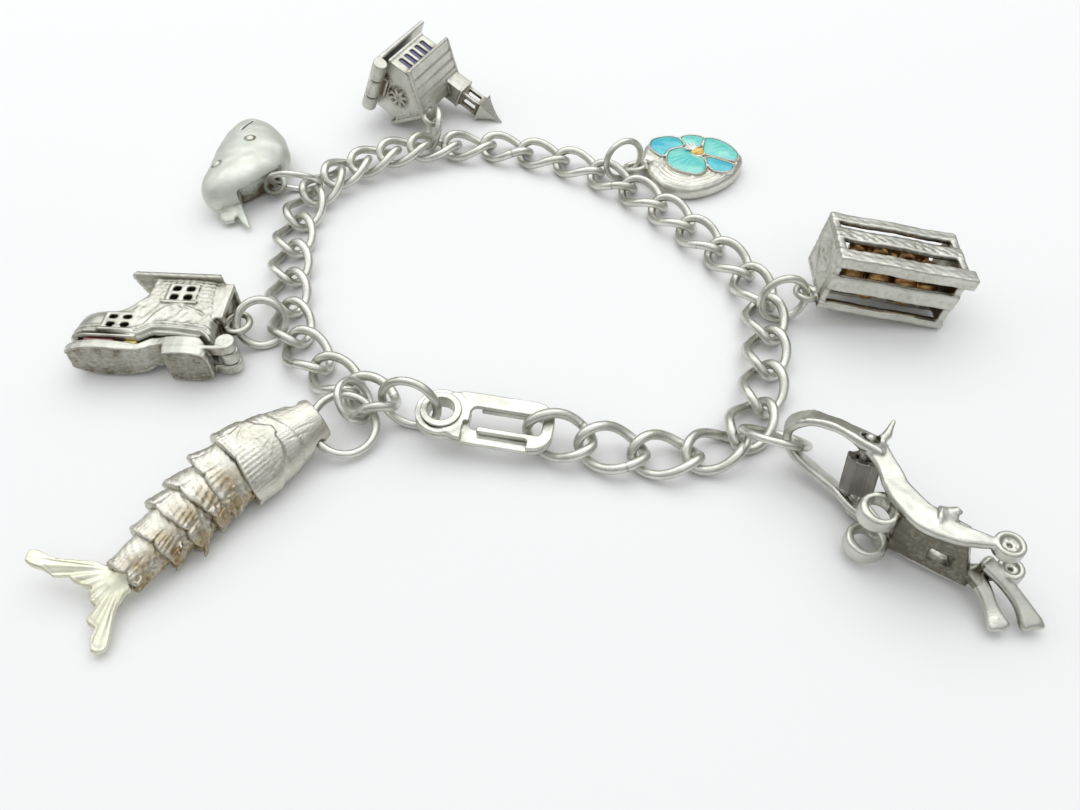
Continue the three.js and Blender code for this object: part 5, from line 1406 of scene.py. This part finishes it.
def heart():
    edge = curve(HEART_EDGE, closed=True, steps=4)
    body = Cast((10.8, 34.9, -0.1), (27.8, 48.2, 3.3), GRID["heart"])
    body.add(prism(edge, 0, HEART_TOP, 0.85))

    # curved ridges inside the edge
    def ridges(x, y, z):
        inside = -outline_distance(edge, x, y)
        lower = np.clip((43.5 - y) / 2.5, 0.25, 1)
        wave = 0.1 * np.cos(inside * 2 * math.pi / 0.62) * unit((inside - 0.3) * 3)
        wave = wave * unit((x - 15.4) / 1.2) * unit(3.6 - inside)
        worn = 0.02 * np.sin(5 * x + y) * np.sin(4 * y - x)
        return (wave * lower + worn) * unit((z - 1.0) / 0.5)

    body.relief(ridges, (13.6, 35.0, 1.2), (27.6, 48.0, 2.6))
    outlines = [curve(petal, closed=True, steps=3) for petal in PETALS]
    for outline in outlines:
        def rim(x, y, z, outline=outline):
            return rounded([outline_distance(outline, x, y) - 0.2, abs(z - 2.0) - 0.55], 0.16)
        low, high = outline.min(0) - 0.2, outline.max(0) + 0.2
        body.add(Shape(rim, (*low, 1.45), (*high, 2.55)), 0.1)
    for outline in outlines:
        body.cut(prism(outline, 2.2, 4, 0.05), 0.05)
    body.add(drum((*FLOWER, 1.6), (*FLOWER, 2.5), 1.0, 0.2), 0.1)
    body.add(hoop((12.78, 41.2, 1.3), 1.32, 0.76, (-15, -10, 0)), 0.15)
    body.piece("heart_silver", LAYOUT, HEART_SILVER, nodes=("heart_charm",), slot="enamelled_silver")

    for index, outline in enumerate(outlines):
        low, high = outline.min(0), outline.max(0)
        part = Cast((*low, 2.0), (*high, 3.0), GRID["petal"])
        middle = outline.mean(0)
        away = (middle - FLOWER) / np.linalg.norm(middle - FLOWER)

        # the enamel swells a little in the middle and has faint veins from the flower's middle
        def glaze(x, y, z, outline=outline, away=away):
            side = outline_distance(outline, x, y)
            top = 2.42 + 0.16 * unit(-side / 1.1) + 0.012 * np.sin(
                26 * np.arctan2((y - FLOWER[1]) * away[0] - (x - FLOWER[0]) * away[1],
                                (x - FLOWER[0]) * away[0] + (y - FLOWER[1]) * away[1]))
            return rounded([side + 0.01, z - top, 2.1 - z], 0.12)

        part.add(Shape(glaze, (*low, 2.1), (*high, 2.65)))
        part.piece(f"heart_petal_{index + 1}", LAYOUT, TURQUOISE if index in PETAL_BLUE else MINT,
                   slot="enamelled_silver")
    middle = Cast((FLOWER[0] - 1, FLOWER[1] - 1, 2.1), (FLOWER[0] + 1, FLOWER[1] + 1, 3.3), GRID["middle"])
    middle.add(ball((*FLOWER, 2.5), (0.9, 0.72, 0.36)))
    for k in range(9):
        a = 2.4 * k
        r = 0.2 + 0.05 * k
        middle.add(ball((FLOWER[0] + r * math.cos(a), FLOWER[1] + r * math.sin(a), 2.78), 0.15), 0.04)
    middle.piece("heart_middle", LAYOUT, ORANGE, slot="enamelled_silver")
    stamens = Cast((FLOWER[0] - 2.2, FLOWER[1] - 0.6, 2.2), (FLOWER[0] + 0.9, FLOWER[1] + 2.4, 3.2),
                   GRID["stamens"])
    for k in range(5):
        a = math.radians(104 + 15 * k)
        reach = 1.9 - 0.12 * abs(k - 2)
        tip = (FLOWER[0] + reach * math.cos(a), FLOWER[1] + reach * math.sin(a), 2.74)
        stamens.add(pill((FLOWER[0] + 0.5 * math.cos(a), FLOWER[1] + 0.5 * math.sin(a), 2.72), tip, 0.1,
                         0.15))
    stamens.piece("heart_stamens", LAYOUT, STAMEN_WHITE, slot="enamelled_silver")


# The crate
CRATE = Frame((30.95, 12.3, 3.15), (-2.2, 9.5, -4.0))
CRATE_LONG, CRATE_DEEP, CRATE_HIGH, PANEL, SLAT = 14.8, 8.0, 7.1, 0.9, 0.8
BALL_RADIUS, SMALL_BALL = 1.7, 1.2
# Places of the balls over the crate's floor: along, back and up
BALL_PLACES = [(3.1, 2.8, 0), (6.2, 2.9, 0), (9.3, 2.7, 0), (11.8, 3.0, 0), (4.6, 4.9, 0.2), (7.7, 5.0, 0.2),
               (10.7, 5.1, 0.1), (6.0, 3.6, 1.4), (9.0, 3.7, 1.4), (3.4, 3.5, 1.3), (11.6, 3.5, 1.3),
               (4.5, 5.3, 1.6), (7.5, 5.3, 1.7), (10.5, 5.3, 1.6)]


def slat(piece, low, high, seed, soft=0.22, depth=0.045):
    """A slat with uneven edges, worn grain and shallow dents."""
    random = np.random.default_rng(seed)
    a, b, c = random.uniform(0, 6.28, 3)
    mid, half = (np.array(low) + high) / 2, (np.array(high) - low) / 2

    def distance(x, y, z):
        wave = 0.06 * np.sin(0.8 * x + a) + 0.02 * np.sin(2.7 * x + b)
        worn = depth * (np.sin(7 * y + 3 * z + 1.4 * np.sin(0.8 * x + c)) * 0.4
                        + np.sin(4.6 * x + a) * np.sin(6.2 * y + b + 3 * z) * 0.5)
        return rounded([abs(x - mid[0]) - half[0], abs(y - mid[1] - wave * 0.6) - half[1] + 0.06,
                        abs(z - mid[2] - wave * 0.5) - half[2] + 0.06], soft) + worn * 0.8

    piece.add(Shape(distance, low, high), 0.06)


def crate():
    long, deep, tall = CRATE_LONG, CRATE_DEEP, CRATE_HIGH
    box = Cast((-3.0, -0.9, -1.1), (long + 1.0, deep + 0.4, tall + 0.3), GRID["crate"])
    for x in (0, long - PANEL):
        box.add(block((x, 0.05, 0.05), (x + PANEL, deep - 0.1, tall - 0.12), 0.2))
    slats = [((0, 6.3, tall - SLAT), (long, deep, tall)), ((0, 3.1, tall - SLAT), (long, 5.1, tall)),
             ((-0.1, -0.6, tall - 1.6), (long + 0.7, 1.4, tall)), ((0, -0.3, 2.2), (long, 0.6, 4.3)),
             ((0, -0.3, -0.5), (long, 0.9, 0.5)), ((0, deep - SLAT, 3.6), (long, deep, 5.4)),
             ((0, deep - SLAT, 0), (long, deep, 2.1)), ((0, 2.0, 0), (long, 3.8, SLAT)),
             ((0, 5.0, 0), (long, 6.8, SLAT))]
    for index, (low, high) in enumerate(slats):
        slat(box, low, high, 60 + index)
    for x in (1.4, long - 2.4):
        for dx in (0.4, 1.15):
            box.add(ball((x + dx, 0.35, -0.36), (0.44, 0.5, 0.4)), 0.1)

    # rows of small worn dents along two of the slats
    def dents(x, y, z):
        top = (z > tall - 0.5) * np.exp(-((y - 4.1) / 0.55) ** 4)
        front = (y < 0.2) * np.exp(-((z - 3.25) / 0.6) ** 4)
        pattern = np.sin(5.3 * x + 0.9 * np.sin(1.3 * x)) * (np.sin(6.5 * y + 2) + np.sin(6.5 * z + 1)) * 0.5
        return 0.085 * pattern * (top + front)

    box.relief(dents, (0.5, -0.6, 2.4), (long - 0.5, 5.2, tall + 0.3))

    # the end panel: a raised border and a plain leaf in a diamond
    def panel_work(x, y, z):
        u, v = y - deep / 2, z - tall / 2
        diamond = abs(u) / 2.5 + abs(v) / 2.3
        border = 0.16 * bell(np.maximum(abs(u) - deep / 2 + 0.7, abs(v) - tall / 2 + 0.7), 0.2)
        frame_line = 0.18 * bell(diamond - 1, 0.09)
        a, r = np.arctan2(v, u), np.hypot(u, v)
        leaf = 0.22 * unit(1 - (r / (1.15 + 0.55 * np.cos(4 * a))) ** 2)
        rough = 0.03 * np.sin(5 * u + 2 * v) * np.sin(6 * v - u)
        return (border + frame_line + leaf + rough) * ((x < 0.3) | (x > long - 0.3))

    box.relief(panel_work, (-0.4, 0.1, 0.1), (long + 0.4, deep - 0.1, tall - 0.1))
    box.add(hoop((-1.2, 1.2, 0.3), 1.12, 0.76), 0.25)

    # painted shade: dark inside the box, and a little darker on the faces turned to -y
    def painted_shade_and_tone(x, y, z, n):
        inside = (x > 0.5) & (x < long - 0.5) & (y > 0.3) & (y < deep - 0.4) & (z > 0.4) & (z < tall - 0.5)
        middle, size = (long / 2, deep / 2, tall / 2), (long, deep, tall)
        outward = sum((p - middle[k]) * n[:, k] / size[k] for k, p in enumerate((x, y, z)))
        return 0.6 * inside * (outward < 0.1) + 0.12 * (n[:, 1] < -0.7)

    box.piece("crate_slats", CRATE, CRATE_SILVER, nodes=("crate_box",), painted_shade_and_tone=painted_shade_and_tone)

    radius = BALL_RADIUS
    floor_z = SLAT + 0.05 + radius
    fruit = Cast((1.3, 0.9, 0.6), (13.6, 6.9, 6.0), GRID["balls"])
    for x, y, z in BALL_PLACES:
        fruit.add(ball((x, y, floor_z + z), radius), 0.08)
    for x in (5.4, 9.8):
        fruit.add(ball((x, 1.95, 1.75), SMALL_BALL), 0.08)
    for x, y, z in BALL_PLACES:
        fruit.cut(ball((x + 0.2, y - 0.5, floor_z + z + radius * 0.97), 0.28), 0.15)
    # the balls are a little darker all over, and their sides turned to -y are lighter, which is painted light
    fruit.piece("crate_balls", CRATE, COPPER, nodes=("crate_fruit",), slot="copper_balls",
                painted_shade_and_tone=lambda x, y, z, n: 0.2 - 0.25 * unit(-n[:, 1]) ** 2)


# The barrow
BARROW = Frame((0, 0, 0.37))
AXLE_TOP, AXLE_FOOT = np.array([30.3, -10.6, 6.6]), np.array([29.6, -13.3, 1.0])
AXLE_RADIUS, WHEEL_RADIUS = 0.55, 1.65
AXLE = (AXLE_TOP - AXLE_FOOT) / np.linalg.norm(AXLE_TOP - AXLE_FOOT)


def prism_between(low, high, soft):
    """A solid between two rings of four corners."""
    low, high = np.array(low, float), np.array(high, float)
    middle = (low.mean(0) + high.mean(0)) / 2
    planes = []
    for quad in [low, high] + [np.array([low[k], low[(k + 1) % 4], high[(k + 1) % 4],
                                         high[k]]) for k in range(4)]:
        normal = np.cross(quad[2] - quad[0], quad[3] - quad[1])
        normal /= np.linalg.norm(normal)
        centre = quad.mean(0)
        normal *= np.sign(normal @ (centre - middle))
        planes.append((normal, normal @ centre))

    def distance(x, y, z):
        return rounded([n[0] * x + n[1] * y + n[2] * z - d for n, d in planes], soft)

    corners = np.concatenate([low, high])
    return Shape(distance, corners.min(0), corners.max(0))


def barrow():
    body = Cast((22.8, -27.0, -0.2), (43.8, -5.6, 8.3), GRID["barrow"])
    across = np.cross(AXLE, (1, -0.3, 0))
    body.add(ribbon([
        [31.3, -11.5, 6.6, 2.6, 0.8], [30.0, -10.4, 6.7, 3.0, 0.85], [27.8, -8.6, 6.7, 2.1, 0.8],
        [25.6, -7.4, 6.3, 2.7, 0.8], [24.3, -6.9, 4.9, 2.5, 0.8], [24.1, -7.1, 3.3, 2.4, 0.8],
        [24.8, -8.0, 2.0, 2.4, 0.8], [26.5, -9.6, 1.2, 2.3, 0.8], [28.3, -11.7, 1.0, 1.9, 0.8],
        [29.7, -13.4, 0.75, 2.8, 0.8], [30.6, -14.6, 0.75, 2.4, 0.8]], across, 0.3))
    body.add(ribbon([
        [30.4, -10.6, 6.6, 2.6, 0.85], [31.2, -12.8, 6.6, 2.0, 0.85], [31.7, -15.8, 6.5, 2.4, 0.85],
        [33.2, -18.6, 6.4, 2.8, 0.85], [35.6, -20.4, 6.4, 2.0, 0.9], [38.8, -21.3, 6.3, 0.9, 0.9]],
        (1, 0.3, 0), 0.32), 0.15)
    body.add(ribbon([
        [29.9, -13.6, 0.75, 2.4, 0.8], [31.2, -15.6, 0.7, 1.8, 0.8], [33.0, -17.6, 0.7, 2.0, 0.8],
        [35.6, -19.8, 0.7, 2.0, 0.8], [38.2, -21.2, 0.9, 1.8, 0.8], [40.3, -21.9, 2.2, 1.0, 0.8]],
        (1, 0.3, 0), 0.32), 0.15)
    body.add(prism_between(
        [[31.2, -18.5, 0.6], [37.9, -22.1, 0.6], [38.6, -20.6, 0.6], [32.2, -16.6, 0.6]],
        [[31.9, -17.2, 6.4], [36.2, -21.2, 6.4], [37.0, -20.0, 6.4], [33.0, -15.6, 6.4]], 0.25), 0.15)
    body.cut(prism_between(
        [[34.2, -22.0, 1.9], [35.9, -23.0, 1.9], [36.6, -18.0, 1.9], [34.9, -17.0, 1.9]],
        [[34.2, -22.0, 3.3], [35.9, -23.0, 3.3], [36.6, -18.0, 3.3], [34.9, -17.0, 3.3]], 0.1), 0.1)

    # scratches on the tray's underside and hammer marks over the straps
    def worn(x, y, z):
        lines = np.sin(9 * z + 2 * np.sin(1.1 * (x - y))) * 0.6 + np.sin(4.1 * (x + y) + 3 * z)
        return 0.014 * lines + 0.05 * np.sin(1.3 * x + 1) * np.sin(1.6 * y) * np.sin(1.1 * z)

    body.relief(worn, (30.6, -23, 0.2), (39, -15, 7))
    body.relief(lambda x, y, z: 0.05 * np.sin(1.7 * x + 0.9 * z) * np.sin(1.9 * y) + 0 * z, (22.8, -15, 0),
                (32.5, -5.6, 8))
    # a raised bead along each edge of the side plate
    body.add(ribbon([[34.6, -19.6, 6.4, 1.6, 0.5], [35.0, -19.0, 6.7, 1.9, 0.42],
                     [35.3, -18.4, 6.85, 1.7, 0.4], [35.5, -18.0, 6.7, 1.5, 0.4]], (1, 0.5, 0), 0.18), 0.12)
    body.add(pill((34.7, -17.9, 6.75), (36.2, -18.4, 6.8), 0.2, 0.26), 0.08)
    for x, y, low, high, outer, inner in ((30.0, -17.3, 4.3, 6.0, 1.85, 1.1),
                                          (29.6, -18.0, 0.5, 2.2, 1.95, 1.2)):
        body.add(drum((x, y, low), (x, y, high), outer, 0.34, bore=inner), 0.25)
        body.relief(lambda u, v, w, x=x, y=y: 0.07 * np.sin(2 * np.arctan2(v - y, u - x) + 1)
                    + 0.02 * np.sin(5 * w + 3 * u), (x - 2.1, y - 2.1, low), (x + 1.2, y + 2.1, high))
        body.add(pill((x + 1.2, y + 0.9, (low + high) / 2), (x + 2.4, y + 0.2, (low + high) / 2), 0.6, 0.5),
                 0.3)
    for x, y, low, high, outer, inner in ((39.6, -21.5, 5.5, 6.8, 1.35, 0.8),
                                          (40.9, -21.8, 2.1, 3.4, 1.2, 0.6)):
        body.add(drum((x, y, low), (x, y, high), outer, 0.28), 0.15)
        body.cut(ball((x, y, high + 0.35), (inner + 0.15, inner + 0.15, 1.0)), 0.08)
        for k in range(7):
            a = 0.9 * k
            body.add(ball((x + 0.42 * math.cos(a), y + 0.42 * math.sin(a), high - 0.55), 0.26), 0.06)
    for rows in ([[37.9, -21.4, 2.2, 1.8, 1.0], [38.6, -23.0, 1.7, 1.5, 0.9], [39.0, -24.6, 1.1, 1.4, 0.8],
                  [39.3, -26.0, 0.7, 2.0, 0.9]],
                 [[38.8, -21.4, 3.4, 1.5, 1.0], [40.3, -22.9, 2.5, 1.3, 0.9], [41.5, -24.3, 1.5, 1.4, 0.9],
                  [42.2, -25.8, 0.7, 2.1, 0.9]]):
        body.add(ribbon(rows, (1, 0, 0), 0.38), 0.2)
    body.add(pill((39.1, -25.6, 0.75), (39.5, -26.1, 0.6), 0.5, 0.42), 0.2)
    body.add(pill((41.6, -25.7, 0.75), (43.0, -25.9, 0.6), 0.45, 0.38), 0.2)
    # the horn at the top of the axle, and the axle's ringed heads
    body.add(pill((31.0, -10.8, 6.6), (32.0, -10.0, 7.0), 0.5, 0.4), 0.2)
    body.add(pill((32.0, -10.0, 7.0), (32.7, -8.9, 7.6), 0.4, 0.2), 0.2)
    head = AXLE_TOP + AXLE * 0.3
    body.add(drum(AXLE_FOOT, head, AXLE_RADIUS, 0.05))
    body.add(drum(AXLE_TOP - AXLE * 0.35, AXLE_TOP + AXLE * 0.42, 1.5, 0.22), 0.12)
    body.cut(drum(AXLE_TOP + AXLE * 0.2, AXLE_TOP + AXLE * 1.5, 0.85, 0.05, bore=0.55), 0.03)
    body.add(ball(AXLE_TOP + AXLE * 0.4, 0.5), 0.05)
    # painted shade: the tray's faces turned to -y, and all faces turned downwards, are darkened
    def painted_shade_and_tone(x, y, z, n):
        tray = (x > 30.9) & (x < 38.4) & (y > -23) & (y < -15.6) & (z > 0.9) & (z < 6.0)
        facing = unit(-n[:, 1] - 0.2 * n[:, 0])
        return 0.75 * tray * unit(facing * 2 - 0.3) + 0.25 * (n[:, 2] < -0.3)

    body.piece("barrow_frame", BARROW, BARROW_SILVER, nodes=("barrow_body",), painted_shade_and_tone=painted_shade_and_tone)

    start, end = [AXLE_FOOT + (AXLE_TOP - AXLE_FOOT) * share for share in (0.2, 0.76)]
    wheel = Cast(np.minimum(start, end) - 1.9, np.maximum(start, end) + 1.9, GRID["wheel"])
    wheel.add(drum(start, end, WHEEL_RADIUS, 0.2))
    side = np.cross(AXLE, (1, 0, 0))
    side /= np.linalg.norm(side)
    up = np.cross(AXLE, side)

    def ribs(x, y, z):
        px, py, pz = x - start[0], y - start[1], z - start[2]
        a = np.arctan2(px * up[0] + py * up[1] + pz * up[2], px * side[0] + py * side[1] + pz * side[2])
        bay = math.pi / 4
        facet = np.cos(bay / 2) / np.cos(a % bay - bay / 2)
        ridge = 0.06 * bell(np.abs(a % bay - bay / 2) - bay / 2, 0.05)
        return WHEEL_RADIUS * (facet - 1) + ridge + 0.012 * np.sin(31 * a)

    wheel.relief(ribs, wheel.low, np.maximum(start, end) + 1.9)
    wheel.cut(drum(start - AXLE, end + AXLE, 0.8, 0))
    wheel.piece("barrow_wheel_ribs", BARROW, DARK, body="barrow_wheel_body", nodes=("barrow_wheel",),
                slot="dark_silver")


fish()
heart()
crate()
barrow()
